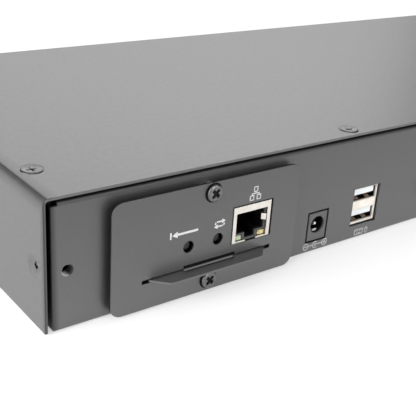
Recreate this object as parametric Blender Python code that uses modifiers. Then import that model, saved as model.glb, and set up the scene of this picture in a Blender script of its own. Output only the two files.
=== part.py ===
# A rack-width KVM switch with a plug-in network module at its rear.
# Metres, +Z up. The rear panel faces -Y. The origin is the middle of the underside.

import math

import bmesh
import bpy
from mathutils import Matrix, Vector

# Chassis: overall sizes over the cover, sheet and bends
CHASSIS_WIDTH = 0.440
CHASSIS_DEPTH = 0.160
CHASSIS_HEIGHT = 0.044
COVER_SHEET = 0.0009
COVER_BEND_INNER = 0.0010
COVER_SETBACK = 0.0003
BASE_SHEET = 0.0010
BASE_BEND_INNER = 0.0005
LIP_WIDTH = 0.0120
SIDE_GAP = 0.0014
RELIEF_WIDTH = 0.0022
RELIEF_HEIGHT = 0.0016
FIT_GAP = 0.0003
GROUND_HOLE_X = 0.0074
GROUND_HOLE_Z = 0.0201
GROUND_HOLE_RADIUS = 0.0020

# Holes for rack brackets in both sides, near the front
RACK_HOLE_RADIUS = 0.0017
RACK_HOLE_Y = 0.0300
RACK_HOLE_Z = 0.0220
RACK_HOLE_SPACING_Y = 0.0220
RACK_HOLE_SPACING_Z = 0.0160

# Countersunk screws of the cover
COVER_SCREW_HEAD = 0.0028
COVER_SCREW_SHANK = 0.0013
COVER_SCREW_LENGTH = 0.0060
DIMPLE_RADIUS = 0.0044
DIMPLE_DEPTH = 0.0005
SIDE_LIP_SCREW_X = 0.0073
SIDE_LIP_SCREW_Y = 0.0222
REAR_LIP_SCREW_X = 0.1262
REAR_LIP_SCREW_Y = 0.0058
WALL_SCREW_Y = 0.0063
WALL_SCREW_Z = 0.0206

# Pan-head screws of the module and the boards
PAN_HEAD = 0.0030
PAN_HEIGHT = 0.0010
PAN_SHANK = 0.0013
PAN_FACE = 0.0020
PAN_SHOULDER = 0.0006
PAN_DOME_STEPS = 4
MODULE_SCREW_LENGTH = 0.0080
RECESS_LENGTH = 0.0036
RECESS_WIDTH = 0.0012
RECESS_DEPTH = 0.0006

# Network module: face plate, measured from the left wall and the underside
PLATE_LEFT = 0.0201
PLATE_WIDTH = 0.0746
PLATE_BOTTOM = 0.0007
PLATE_TOP_MARGIN = 0.0047
PLATE_CORNER = 0.0038
PLATE_SHEET = 0.0012
PLATE_STANDOFF = 0.0021
MODULE_SCREW_X = -0.0002
MODULE_SCREW_HIGH = 0.0034
MODULE_SCREW_LOW = 0.0041
MODULE_SCREW_TURN = math.radians(45)
STANDOFF_RADIUS = 0.0028
STANDOFF_BARREL = 0.0021
STANDOFF_DEPTH = 0.0030

# Network module: tray with its pull tab
TRAY_SHEET = 0.0008
TRAY_BOTTOM = 0.01015
TRAY_WIDTH = 0.0580
TRAY_REACH = 0.0900
TAB_WIDTH = 0.0470
TAB_TAPER = 0.0050
TAB_REACH = 0.00525
TAB_CORNER = 0.0022
TAB_SLOT_WIDTH = 0.0524
TAB_WINDOW_WIDTH = 0.0208
TAB_WINDOW_REACH = 0.0015
TAB_SLOT_NOTCH = 0.0009
EAR_HEIGHT = 0.0130
TRAY_STUD_HEIGHT = 0.00215
TRAY_STUD_RADIUS = 0.0025
TRAY_STUD_INSET = 0.0060
BAY_CLEARANCE = 0.0008

# Network module: board, plug, jack and recessed buttons
BOARD_SHEET = 0.0016
JACK_OFFSET = 0.01685
JACK_WIDTH = 0.0161
JACK_HEIGHT = 0.0131
JACK_DEPTH = 0.0210
JACK_PROUD = 0.0001
JACK_WALL = 0.0004
JACK_TOP_BAND = 0.0024
JACK_SIDE_BAND = 0.0014
JACK_FOOT_BAND = 0.00045
JACK_LATCH_NOTCH = 0.0009
JACK_SLIT = 0.0010
PORT_WIDTH = 0.0120
PORT_FLOOR = 0.0029
PORT_ROOF = 0.0104
PORT_DEPTH = 0.0150
LATCH_WIDTH = 0.0046
LATCH_DEPTH = 0.0110
LATCH_FLOOR = 0.0008
LED_WIDTH = 0.0029
LED_HEIGHT = 0.0016
LED_LIFT = 0.0005
LED_LENGTH = 0.0080
LED_INNER = 0.0036
FINGER_HEIGHT = 0.0022
FINGER_SHEET = 0.0002
FINGER_LEVEL = 0.0068
FINGER_ROOT = 0.0003
FINGER_INSET = 0.0011
FINGER_KNEE = 0.0017
FINGER_RETURN = 0.0005
FINGER_REACH = 0.0042
FINGER_RELIEF = 0.0010
CONTACT_COUNT = 8
CONTACT_PITCH = 0.00102
CONTACT_WIRE = 0.00045
CONTACT_RUN = 0.0072
CONTACT_DROP = 0.0034
CONTACT_SETBACK = 0.0020
CONTACT_BAR_DEPTH = 0.0020
CONTACT_BAR_BELOW = 0.0005
CONTACT_BAR_ABOVE = 0.0010
BUTTON_HOLE_RADIUS = 0.00205
BUTTON_RADIUS = 0.0016
BUTTON_HEIGHT = 0.0038
BUTTON_TRAVEL = 0.00025
BUTTON_LENGTH = 0.0040
BUTTON_SHOWING = 0.0020
BUTTON_EDGE = 0.0002
DEFAULT_BUTTON_X = -0.0089
RESET_BUTTON_X = 0.0029
SWITCH_WIDTH = 0.0060
SWITCH_DEPTH = 0.0040
SWITCH_HEIGHT = 0.0072
PLUG_WIDTH = 0.0440
PLUG_DEPTH = 0.0080
PLUG_HEIGHT = 0.0070
TONGUE_WIDTH = 0.0400
TONGUE_LENGTH = 0.0050
TONGUE_HEIGHT = 0.0024
SOCKET_WALL = 0.0030
CHIP_HEIGHT = 0.0020
PROCESSOR_SIZE = 0.0130
MEMORY_SIZE = 0.0080
MEMORY_PITCH = 0.0200
MODULE_CHIP_OFFSET = 0.0100

# Guide rails of the module bay
RAIL_GROOVE = 0.0020
RAIL_WALL = 0.0022
RAIL_LIP = 0.0012
RAIL_FOOT = 0.0040
RAIL_FOOT_HEIGHT = 0.0016

# Main board and its pressed studs
MAIN_LEFT = 0.0990
MAIN_SIDE_MARGIN = 0.0080
MAIN_REAR_MARGIN = 0.0006
MAIN_FRONT_MARGIN = 0.0120
MAIN_ARM_MARGIN = 0.0200
MAIN_STUD_HEIGHT = 0.0019
MAIN_STUD_RADIUS = 0.0028
MAIN_STUD_INSET = 0.0060
MAIN_STUD_REAR = 0.0400
MAIN_CHIP_COUNT = 4
MAIN_CHIP_SIZE = 0.0200

# Power inlet and mouse and keyboard sockets
DC_X = 0.10975
DC_WIDTH = 0.0090
DC_HEIGHT = 0.0110
DC_DEPTH = 0.0140
DC_GAP = 0.0008
DC_BORE = 0.0034
DC_AXIS = 0.0061
DC_BORE_DEPTH = 0.0095
DC_PIN = 0.00105
DC_PIN_RECESS = 0.0012
DC_SPRING_SHEET = 0.0004
DC_SPRING_HEIGHT = 0.0022
DC_SPRING_SLOT = 0.0008
USB_X = 0.1351
USB_WIDTH = 0.0136
USB_HEIGHT = 0.01495
USB_DEPTH = 0.0170
USB_LIFT = 0.0010
USB_RECESS = 0.0010
USB_WALL = 0.0004
USB_PORT_WIDTH = 0.0128
USB_PORT_HEIGHT = 0.0050
USB_PORT_PITCH = 0.0087
USB_TONGUE_WIDTH = 0.0118
USB_TONGUE_SHEET = 0.0022
USB_TONGUE_DROP = 0.0008
USB_TONGUE_RECESS = 0.0012
USB_BLOCK_DEPTH = 0.0050
USB_GAP = 0.0004

# Console video port
CONSOLE_X = 0.1850
CONSOLE_LIFT = 0.0074
CONSOLE_FLANGE_WIDTH = 0.0308
CONSOLE_FLANGE_HEIGHT = 0.0124
CONSOLE_FLANGE_SHEET = 0.0010
CONSOLE_SHROUD_WIDTH = 0.0170
CONSOLE_SHROUD_HEIGHT = 0.0086
CONSOLE_SHROUD_SLOPE = 0.0015
CONSOLE_SHROUD_CORNER = 0.0020
CONSOLE_SHROUD_PROUD = 0.0058
CONSOLE_SHROUD_WALL = 0.0005
CONSOLE_BODY_WIDTH = 0.0250
CONSOLE_BODY_DEPTH = 0.0110
CONSOLE_PIN_PITCH = 0.0023
CONSOLE_PIN_ROW = 0.0020
CONSOLE_PIN_RADIUS = 0.0005
CONSOLE_PIN_DEPTH = 0.0040
JACKSCREW_SPACING = 0.0250
JACKSCREW_RADIUS = 0.0029
JACKSCREW_LENGTH = 0.0050
JACKSCREW_SHANK = 0.0014
JACKSCREW_BORE = 0.0013

# Row of computer ports
PC_PORT_COUNT = 8
PC_PORT_LEFT = 0.2350
PC_PORT_PITCH = 0.0140
PC_PORT_END = 0.0013
PC_PORT_PROUD = 0.0010
PC_PORT_DEPTH = 0.0180
PC_PORT_GAP = 0.0005

# Front: port buttons, light pipe and their board
PORT_PITCH = 0.0260
PORT_BUTTON_WIDTH = 0.0090
PORT_BUTTON_HEIGHT = 0.0050
PORT_BUTTON_CORNER = 0.0012
PORT_BUTTON_PROUD = 0.0016
PORT_BUTTON_FLANGE = 0.0010
PORT_BUTTON_FLANGE_SHEET = 0.0008
PORT_BUTTON_STEM = 0.0015
PORT_BUTTON_TRAVEL = 0.0005
PORT_BUTTON_Z = 0.0160
PIPE_POST_RADIUS = 0.0015
PIPE_PROUD = 0.0005
PIPE_BAR_DEPTH = 0.0030
PIPE_BAR_HEIGHT = 0.0040
PIPE_Z = 0.0270
FRONT_STUD_LENGTH = 0.0077
FRONT_STUD_RADIUS = 0.0025
FRONT_BOARD_BOTTOM = 0.0060
FRONT_BOARD_HEIGHT = 0.0300
FRONT_BOARD_MARGIN = 0.0120
FRONT_SWITCH_SIZE = 0.0060
FRONT_SWITCH_DEPTH = 0.0035
HEADER_WIDTH = 0.0300
HEADER_DEPTH = 0.0090
HEADER_HEIGHT = 0.0080

# Facets of round stretches, and how far cutters and joined pieces overrun
FINE_SIDES = 24
ROUND_SIDES = 16
HOLE_SIDES = 10
HEX_SIDES = 6
ARC_STEPS = 5
BEND_STEPS = 4
SMOOTH_ANGLE = math.radians(35)
OVERCUT = 0.0010
EMBED = 0.0002
WELD = 0.000001

# Levels and faces shared by the pieces
LEFT = -CHASSIS_WIDTH / 2
REAR = -CHASSIS_DEPTH / 2
FRONT = CHASSIS_DEPTH / 2
COVER_UNDER = CHASSIS_HEIGHT - COVER_SHEET
LIP_TOP = COVER_UNDER - FIT_GAP
BASE_LEFT = LEFT + COVER_SHEET + SIDE_GAP
BASE_RIGHT = -BASE_LEFT
PANEL_INNER = REAR + BASE_SHEET
FRONT_INNER = FRONT - BASE_SHEET
MODULE_X = LEFT + PLATE_LEFT + PLATE_WIDTH / 2
PLATE_TOP = CHASSIS_HEIGHT - PLATE_TOP_MARGIN
PLATE_BACK = REAR - PLATE_STANDOFF
PLATE_FACE = PLATE_BACK - PLATE_SHEET
TRAY_TOP = TRAY_BOTTOM + TRAY_SHEET
TRAY_FRONT = PLATE_BACK + FIT_GAP
TRAY_REAR = REAR + TRAY_REACH
MODULE_BOARD_BOTTOM = TRAY_TOP + TRAY_STUD_HEIGHT + FIT_GAP
MODULE_BOARD_TOP = MODULE_BOARD_BOTTOM + BOARD_SHEET
MODULE_BOARD_WIDTH = TRAY_WIDTH - 2 * (RAIL_GROOVE + FIT_GAP)
MODULE_BOARD_FRONT = TRAY_FRONT + TRAY_SHEET + FIT_GAP
JACK_X = MODULE_X + JACK_OFFSET
JACK_FACE = PLATE_FACE - JACK_PROUD
JACK_BODY_FACE = JACK_FACE + JACK_WALL + FIT_GAP
EAR_INNER = JACK_OFFSET + JACK_WIDTH / 2 + FIT_GAP
JACK_BOTTOM = MODULE_BOARD_TOP + FIT_GAP
JACK_TOP = JACK_BOTTOM + JACK_HEIGHT
BUTTON_Z = MODULE_BOARD_TOP + BUTTON_HEIGHT
BUTTON_TIP = PLATE_BACK + FIT_GAP
SWITCH_FACE = BUTTON_TIP + BUTTON_SHOWING
MODULE_SCREW_XS = MODULE_X + MODULE_SCREW_X
MODULE_SCREW_ZS = (PLATE_BOTTOM + MODULE_SCREW_LOW, PLATE_TOP - MODULE_SCREW_HIGH)
BAY_BOTTOM = TRAY_BOTTOM - BAY_CLEARANCE
BAY_TOP = JACK_TOP + BAY_CLEARANCE
BAY_HALF = TRAY_WIDTH / 2 + BAY_CLEARANCE
PLUG_FRONT = TRAY_REAR - PLUG_DEPTH / 2
PLUG_REAR = PLUG_FRONT + PLUG_DEPTH
PLUG_BOTTOM = MODULE_BOARD_TOP + FIT_GAP
TONGUE_BOTTOM = PLUG_BOTTOM + (PLUG_HEIGHT - TONGUE_HEIGHT) / 2
SOCKET_FRONT = PLUG_REAR + FIT_GAP
SOCKET_REAR = SOCKET_FRONT + TONGUE_LENGTH + SOCKET_WALL
MAIN_BOTTOM = BASE_SHEET + MAIN_STUD_HEIGHT + FIT_GAP
MAIN_TOP = MAIN_BOTTOM + BOARD_SHEET
MAIN_SEAT = MAIN_TOP + FIT_GAP
MAIN_REAR = PANEL_INNER + MAIN_REAR_MARGIN
MAIN_FRONT = FRONT_INNER - MAIN_FRONT_MARGIN
MAIN_ARM_REAR = PLUG_REAR
DC_CENTRE = LEFT + DC_X
USB_CENTRE = LEFT + USB_X
USB_FACE = REAR + USB_RECESS
USB_BOTTOM = MAIN_SEAT + USB_LIFT
USB_TOP = USB_BOTTOM + USB_HEIGHT
CONSOLE_CENTRE = LEFT + CONSOLE_X
CONSOLE_Z = MAIN_SEAT + CONSOLE_LIFT
CONSOLE_FLANGE_FACE = PANEL_INNER + FIT_GAP
PC_PORT_WIDTH = PC_PORT_COUNT * PC_PORT_PITCH + 2 * PC_PORT_END
PC_PORT_X = LEFT + PC_PORT_LEFT
PC_PORT_FACE = REAR - PC_PORT_PROUD
PC_PORT_TOP = MAIN_SEAT + JACK_HEIGHT
FRONT_BOARD_FACE = FRONT_INNER - FRONT_STUD_LENGTH - FIT_GAP
FRONT_BOARD_BACK = FRONT_BOARD_FACE - BOARD_SHEET
FRONT_BOARD_HALF = PORT_PITCH * (PC_PORT_COUNT - 1) / 2 + FRONT_BOARD_MARGIN
FRONT_STUD_X = FRONT_BOARD_HALF - FRONT_STUD_RADIUS - FIT_GAP
FRONT_STUD_Z = FRONT_BOARD_BOTTOM + FRONT_STUD_RADIUS + FIT_GAP
PORT_BUTTON_XS = [PORT_PITCH * (i - (PC_PORT_COUNT - 1) / 2) for i in range(PC_PORT_COUNT)]

# Finishes: colour, roughness, metallic
BLACK_PAINT = ((0.030, 0.030, 0.031), 0.40, 0.0)
BLACK_SCREW = ((0.040, 0.040, 0.042), 0.35, 0.6)
NICKEL = ((0.72, 0.69, 0.65), 0.25, 1.0)
STEEL = ((0.62, 0.62, 0.63), 0.30, 1.0)
GOLD_PLATE = ((0.80, 0.60, 0.25), 0.25, 1.0)
BLACK_PLASTIC = ((0.020, 0.020, 0.021), 0.50, 0.0)
WHITE_PLASTIC = ((0.80, 0.80, 0.78), 0.45, 0.0)
BLUE_PLASTIC = ((0.03, 0.08, 0.35), 0.45, 0.0)
GREEN_BOARD = ((0.02, 0.14, 0.06), 0.45, 0.0)
GREEN_LENS = ((0.45, 0.60, 0.30), 0.20, 0.0)
AMBER_LENS = ((0.75, 0.60, 0.20), 0.20, 0.0)
CLEAR_PLASTIC = ((0.75, 0.78, 0.80), 0.15, 0.0)


def clear_scene():
    for item in list(bpy.data.objects):
        bpy.data.objects.remove(item, do_unlink=True)


def new_collection(name):
    collection = bpy.data.collections.new(name)
    bpy.context.scene.collection.children.link(collection)
    return collection


def finish_material(node, finish):
    colour, roughness, metallic = finish
    material = bpy.data.materials.new(node + "_finish")
    material.use_nodes = True
    shader = material.node_tree.nodes["Principled BSDF"]
    shader.inputs["Base Color"].default_value = (*colour, 1.0)
    shader.inputs["Roughness"].default_value = roughness
    shader.inputs["Metallic"].default_value = metallic
    return material


# Primitives gathered in one mesh


def add_box(bm, low, high):
    low = Vector(low)
    high = Vector(high)
    made = bmesh.ops.create_cube(bm, size=1.0)
    bmesh.ops.scale(bm, vec=high - low, verts=made["verts"])
    bmesh.ops.translate(bm, vec=(low + high) / 2, verts=made["verts"])
    return made["verts"]


def add_rod(bm, start, end, radius, sides=HOLE_SIDES):
    start = Vector(start)
    end = Vector(end)
    turn = (end - start).to_track_quat("Z", "Y").to_matrix().to_4x4()
    place = Matrix.Translation((start + end) / 2) @ turn
    bmesh.ops.create_cone(
        bm, cap_ends=True, segments=sides, radius1=radius, radius2=radius,
        depth=(end - start).length, matrix=place,
    )


def add_bar(bm, start, end, width, height):
    start = Vector(start)
    end = Vector(end)
    turn = (end - start).to_track_quat("Y", "Z").to_matrix().to_4x4()
    place = Matrix.Translation((start + end) / 2) @ turn
    size = Matrix.Diagonal((width, (end - start).length, height, 1.0))
    bmesh.ops.create_cube(bm, size=1.0, matrix=place @ size)


def solid_box(low, high):
    bm = bmesh.new()
    add_box(bm, low, high)
    return bm


def bent_box(low, high, radius):
    """Box whose level edges are rounded, as the bends of a folded sheet are."""
    bm = solid_box(low, high)
    bends = [edge for edge in bm.edges if edge.verts[0].co.z == edge.verts[1].co.z]
    bmesh.ops.bevel(bm, geom=bends, offset=radius, segments=BEND_STEPS, profile=0.5, affect="EDGES")
    return bm


def solid_rod(start, end, radius, sides=HOLE_SIDES):
    bm = bmesh.new()
    add_rod(bm, start, end, radius, sides)
    return bm


# Outlines with rounded corners, and turned profiles


def rounded_outline(corners):
    points = []
    for index, (x, y, radius) in enumerate(corners):
        here = Vector((x, y))
        if radius <= 0:
            points.append(here)
            continue
        before = (Vector(corners[index - 1][:2]) - here).normalized()
        after = (Vector(corners[(index + 1) % len(corners)][:2]) - here).normalized()
        half = before.angle(after) / 2
        centre = here + (before + after).normalized() * radius / math.sin(half)
        start = here + before * radius / math.tan(half) - centre
        end = here + after * radius / math.tan(half) - centre
        first = math.atan2(start.y, start.x)
        sweep = math.atan2(end.y, end.x) - first
        sweep = (sweep + math.pi) % (2 * math.pi) - math.pi
        for step in range(ARC_STEPS + 1):
            angle = first + sweep * step / ARC_STEPS
            points.append(centre + radius * Vector((math.cos(angle), math.sin(angle))))
    return points


def rounded_rectangle(width, height, radius):
    return [
        (-width / 2, -height / 2, radius),
        (width / 2, -height / 2, radius),
        (width / 2, height / 2, radius),
        (-width / 2, height / 2, radius),
    ]


def extruded_outline(corners, thickness, place):
    curve = bpy.data.curves.new("outline", "CURVE")
    curve.dimensions = "2D"
    curve.fill_mode = "BOTH"
    curve.extrude = thickness / 2
    points = rounded_outline(corners)
    spline = curve.splines.new("POLY")
    spline.points.add(len(points) - 1)
    for target, point in zip(spline.points, points):
        target.co = (point.x, point.y, 0.0, 1.0)
    spline.use_cyclic_u = True
    bm = mesh_of_helper(bpy.data.objects.new("outline", curve))
    for side in (-1, 1):
        cap = [face for face in bm.faces if all(side * vert.co.z > 0 for vert in face.verts)]
        bmesh.ops.dissolve_faces(bm, faces=cap)
    bmesh.ops.transform(bm, matrix=place, verts=bm.verts)
    return bm


def turned_profile(profile, place, sides=ROUND_SIDES):
    mesh = bpy.data.meshes.new("profile")
    edges = [(i, i + 1) for i in range(len(profile) - 1)]
    mesh.from_pydata([(radius, 0.0, height) for radius, height in profile], edges, [])
    helper = bpy.data.objects.new("profile", mesh)
    screw = helper.modifiers.new("turn", "SCREW")
    screw.steps = sides
    screw.render_steps = sides
    screw.use_merge_vertices = True
    screw.merge_threshold = WELD
    bm = mesh_of_helper(helper)
    bmesh.ops.transform(bm, matrix=place, verts=bm.verts)
    return bm


def mesh_of_helper(helper):
    """Welded mesh of a curve or a turned profile, whose helper object is removed."""
    bpy.context.scene.collection.objects.link(helper)
    graph = bpy.context.evaluated_depsgraph_get()
    mesh = bpy.data.meshes.new_from_object(helper.evaluated_get(graph))
    bm = bmesh.new()
    bm.from_mesh(mesh)
    bmesh.ops.remove_doubles(bm, verts=bm.verts, dist=WELD)
    bpy.data.objects.remove(helper, do_unlink=True)
    bpy.data.meshes.remove(mesh)
    return bm


def facing_rear(x, y, z):
    """Place of an outline drawn in X and Z that is extruded along the depth."""
    return Matrix.Translation((x, y, z)) @ Matrix.Rotation(math.pi / 2, 4, "X")


def pointing(x, y, z, direction):
    """Place of a turned profile whose upper end points in the given direction."""
    turn = Vector(direction).to_track_quat("Z", "Y").to_matrix().to_4x4()
    return Matrix.Translation((x, y, z)) @ turn


# Objects, and the cuts and joins between them


def new_part(node, bm, origin, finish, parent=None):
    origin = Vector(origin)
    bmesh.ops.translate(bm, vec=-origin, verts=bm.verts)
    mesh = bpy.data.meshes.new(node)
    bm.to_mesh(mesh)
    bm.free()
    mesh.materials.append(finish_material(node, finish))
    part = bpy.data.objects.new(node, mesh)
    PARTS.objects.link(part)
    part.location = origin
    if parent is not None:
        part.parent = parent
        part.location = origin - parent.location
    return part


def with_helper(part, bm, operation):
    name = part.name + "_" + operation.lower()
    mesh = bpy.data.meshes.new(name)
    bm.to_mesh(mesh)
    bm.free()
    helper = bpy.data.objects.new(name, mesh)
    CUTTERS.objects.link(helper)
    helper.hide_render = True
    helper.display_type = "WIRE"
    change = part.modifiers.new(operation.lower(), "BOOLEAN")
    change.operation = operation
    change.object = helper
    change.solver = "EXACT"


def cut(part, bm):
    with_helper(part, bm, "DIFFERENCE")


def join(part, bm):
    with_helper(part, bm, "UNION")


def shade_round(part):
    part.data.shade_smooth()
    part.data.set_sharp_from_angle(angle=SMOOTH_ANGLE)


# Screws with a cross recess, made once and shared by their copies


def screw_mesh(node, profile, finish, sides):
    turned = turned_profile(profile, Matrix.Identity(4), sides)
    screw = new_part(node, turned, (0, 0, 0), finish)
    recess = bmesh.new()
    half = RECESS_LENGTH / 2
    wide = RECESS_WIDTH / 2
    for x, y in ((half, wide), (wide, half)):
        add_box(recess, (-x, -y, -RECESS_DEPTH), (x, y, OVERCUT))
    cut(screw, recess)
    screw.modifiers[-1].use_self = True
    bpy.context.view_layer.update()
    graph = bpy.context.evaluated_depsgraph_get()
    mesh = bpy.data.meshes.new_from_object(screw.evaluated_get(graph))
    mesh.shade_smooth()
    mesh.set_sharp_from_angle(angle=SMOOTH_ANGLE)
    bpy.data.objects.remove(screw, do_unlink=True)
    return mesh


def countersunk_profile():
    head = COVER_SHEET - DIMPLE_DEPTH
    return [
        (0, 0),
        (COVER_SCREW_HEAD, 0),
        (COVER_SCREW_SHANK, -head),
        (COVER_SCREW_SHANK, -COVER_SCREW_LENGTH),
        (0, -COVER_SCREW_LENGTH),
    ]


def pan_profile(length):
    """Head with a flat face and a rounded shoulder, over a plain shank."""
    dome = []
    for step in range(PAN_DOME_STEPS + 1):
        angle = math.pi / 2 * step / PAN_DOME_STEPS
        radius = PAN_FACE + (PAN_HEAD - PAN_FACE) * math.sin(angle)
        dome.append((radius, -PAN_SHOULDER * (1 - math.cos(angle))))
    return [
        (0, 0),
        *dome,
        (PAN_HEAD, -PAN_HEIGHT),
        (PAN_SHANK, -PAN_HEIGHT),
        (PAN_SHANK, -PAN_HEIGHT - length),
        (0, -PAN_HEIGHT - length),
    ]


def place_screw(node, mesh, location, direction, turn=0, parent=None):
    screw = bpy.data.objects.new(node, mesh)
    PARTS.objects.link(screw)
    screw.location = location
    if parent is not None:
        screw.parent = parent
        screw.location = Vector(location) - parent.location
    facing = Vector(direction).to_track_quat("Z", "Y").to_matrix()
    screw.rotation_euler = (facing @ Matrix.Rotation(turn, 3, "Z")).to_euler()


def cover_screw_places():
    """Point on the cover's surface and outward direction of each cover screw."""
    places = []
    for side in (-1, 1):
        edge_x = side * (CHASSIS_WIDTH / 2 - SIDE_LIP_SCREW_X)
        places.append(((edge_x, REAR + SIDE_LIP_SCREW_Y, CHASSIS_HEIGHT), (0, 0, 1)))
        places.append(((edge_x, FRONT - SIDE_LIP_SCREW_Y, CHASSIS_HEIGHT), (0, 0, 1)))
        lip_x = side * (CHASSIS_WIDTH / 2 - REAR_LIP_SCREW_X)
        places.append(((lip_x, REAR + REAR_LIP_SCREW_Y, CHASSIS_HEIGHT), (0, 0, 1)))
        wall_x = side * CHASSIS_WIDTH / 2
        places.append(((wall_x, REAR + WALL_SCREW_Y, WALL_SCREW_Z), (side, 0, 0)))
        places.append(((wall_x, FRONT - WALL_SCREW_Y, WALL_SCREW_Z), (side, 0, 0)))
    return places


# Chassis


def console_outline(grow):
    """D-shaped outline of the console port, grown by a margin on every side."""
    half = CONSOLE_SHROUD_WIDTH / 2 + grow
    tall = CONSOLE_SHROUD_HEIGHT / 2 + grow
    corner = max(CONSOLE_SHROUD_CORNER + grow, CONSOLE_SHROUD_WALL)
    return [
        (-half + CONSOLE_SHROUD_SLOPE, -tall, corner),
        (half - CONSOLE_SHROUD_SLOPE, -tall, corner),
        (half, tall, corner),
        (-half, tall, corner),
    ]


def main_stud_places():
    left = LEFT + MAIN_LEFT + MAIN_STUD_INSET
    right = BASE_RIGHT - MAIN_SIDE_MARGIN - MAIN_STUD_INSET
    rear = MAIN_REAR + MAIN_STUD_REAR
    front = MAIN_FRONT - MAIN_STUD_INSET
    return [(left, rear), (right, rear), (left, front), (right, front)]


def add_rack_holes(bm, outer, inner):
    """Four holes for a rack bracket through each side, between two distances from the middle."""
    for side in (-1, 1):
        for y in (-RACK_HOLE_SPACING_Y / 2, RACK_HOLE_SPACING_Y / 2):
            for z in (-RACK_HOLE_SPACING_Z / 2, RACK_HOLE_SPACING_Z / 2):
                start = (side * outer, FRONT - RACK_HOLE_Y + y, RACK_HOLE_Z + z)
                add_rod(bm, start, (side * inner, start[1], start[2]), RACK_HOLE_RADIUS, ROUND_SIDES)


def make_base_tray():
    sheet = bent_box((BASE_LEFT, REAR, 0), (BASE_RIGHT, FRONT, LIP_TOP), BASE_SHEET + BASE_BEND_INNER)
    tray = new_part("base_tray", sheet, (0, 0, 0), BLACK_PAINT)
    inner = (BASE_LEFT + BASE_SHEET, PANEL_INNER, BASE_SHEET)
    cut(tray, bent_box(inner, (-inner[0], FRONT_INNER, LIP_TOP - BASE_SHEET), BASE_BEND_INNER))
    mouth = (BASE_LEFT + LIP_WIDTH, REAR + LIP_WIDTH, LIP_TOP - BASE_SHEET - OVERCUT)
    cut(tray, solid_box(mouth, (-mouth[0], FRONT - LIP_WIDTH, LIP_TOP + OVERCUT)))
    join(tray, pressed_studs())
    cut(tray, chassis_openings())
    cut(tray, bush_openings())
    cut(tray, console_opening())


def pressed_studs():
    """Studs of the main board on the floor, and of the front board on the front wall."""
    bm = bmesh.new()
    top = BASE_SHEET + MAIN_STUD_HEIGHT
    for x, y in main_stud_places():
        add_rod(bm, (x, y, BASE_SHEET - EMBED), (x, y, top), MAIN_STUD_RADIUS)
    for x in (-FRONT_STUD_X, FRONT_STUD_X):
        start = (x, FRONT_INNER + EMBED, FRONT_STUD_Z)
        add_rod(bm, start, (x, FRONT_INNER - FRONT_STUD_LENGTH, FRONT_STUD_Z), FRONT_STUD_RADIUS)
    return bm


def chassis_openings():
    bm = bmesh.new()
    outside = REAR - OVERCUT
    inside = PANEL_INNER + OVERCUT
    relief = LIP_TOP - RELIEF_HEIGHT
    for x in (BASE_LEFT, BASE_RIGHT):
        for y in (REAR, FRONT):
            low = (x - RELIEF_WIDTH, y - RELIEF_WIDTH, relief)
            add_box(bm, low, (x + RELIEF_WIDTH, y + RELIEF_WIDTH, LIP_TOP + OVERCUT))
    bay = (MODULE_X - BAY_HALF, outside, BAY_BOTTOM)
    add_box(bm, bay, (MODULE_X + BAY_HALF, inside, BAY_TOP))
    dc_half = DC_WIDTH / 2 + DC_GAP
    dc = (DC_CENTRE - dc_half, outside, MAIN_SEAT - DC_GAP)
    add_box(bm, dc, (DC_CENTRE + dc_half, inside, MAIN_SEAT + DC_HEIGHT + DC_GAP))
    usb_half = USB_WIDTH / 2 + USB_GAP
    usb = (USB_CENTRE - usb_half, outside, USB_BOTTOM - USB_GAP)
    add_box(bm, usb, (USB_CENTRE + usb_half, inside, USB_TOP + USB_GAP))
    ports = (PC_PORT_X - PC_PORT_GAP, outside, MAIN_SEAT - PC_PORT_GAP)
    right = PC_PORT_X + PC_PORT_WIDTH + PC_PORT_GAP
    add_box(bm, ports, (right, inside, PC_PORT_TOP + PC_PORT_GAP))
    ground_x = LEFT + GROUND_HOLE_X
    ground = (ground_x, inside, GROUND_HOLE_Z)
    add_rod(bm, (ground_x, outside, GROUND_HOLE_Z), ground, GROUND_HOLE_RADIUS, FINE_SIDES)
    for side in (-1, 1):
        x = CONSOLE_CENTRE + side * JACKSCREW_SPACING / 2
        add_rod(bm, (x, outside, CONSOLE_Z), (x, inside, CONSOLE_Z), JACKSCREW_SHANK + FIT_GAP)
    add_front_openings(bm)
    for location, direction in cover_screw_places():
        start = Vector(location) - Vector(direction) * COVER_SHEET
        reach = SIDE_GAP + FIT_GAP + BASE_SHEET + OVERCUT
        add_rod(bm, start, start - Vector(direction) * reach, COVER_SCREW_SHANK + FIT_GAP)
    for x, y in main_stud_places():
        top = BASE_SHEET + MAIN_STUD_HEIGHT + EMBED
        add_rod(bm, (x, y, BASE_SHEET + EMBED), (x, y, top), PAN_SHANK + FIT_GAP)
    add_rack_holes(bm, BASE_RIGHT + SIDE_GAP / 2, BASE_RIGHT - BASE_SHEET - OVERCUT)
    return bm


def bush_openings():
    """Holes of the two bushes over and under the module bay."""
    bm = bmesh.new()
    for z in MODULE_SCREW_ZS:
        start = (MODULE_SCREW_XS, REAR - OVERCUT, z)
        add_rod(bm, start, (MODULE_SCREW_XS, PANEL_INNER + OVERCUT, z), STANDOFF_BARREL + FIT_GAP)
    return bm


def add_front_openings(bm):
    outside = FRONT + OVERCUT
    inside = FRONT_INNER - OVERCUT
    wide = PORT_BUTTON_WIDTH / 2 + FIT_GAP
    tall = PORT_BUTTON_HEIGHT / 2 + FIT_GAP
    for x in PORT_BUTTON_XS:
        low = (x - wide, inside, PORT_BUTTON_Z - tall)
        add_box(bm, low, (x + wide, outside, PORT_BUTTON_Z + tall))
        add_rod(bm, (x, inside, PIPE_Z), (x, outside, PIPE_Z), PIPE_POST_RADIUS + FIT_GAP)


def console_opening():
    middle = (REAR + PANEL_INNER) / 2
    thickness = BASE_SHEET + 2 * OVERCUT
    place = facing_rear(CONSOLE_CENTRE, middle, CONSOLE_Z)
    return extruded_outline(console_outline(FIT_GAP), thickness, place)


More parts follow.
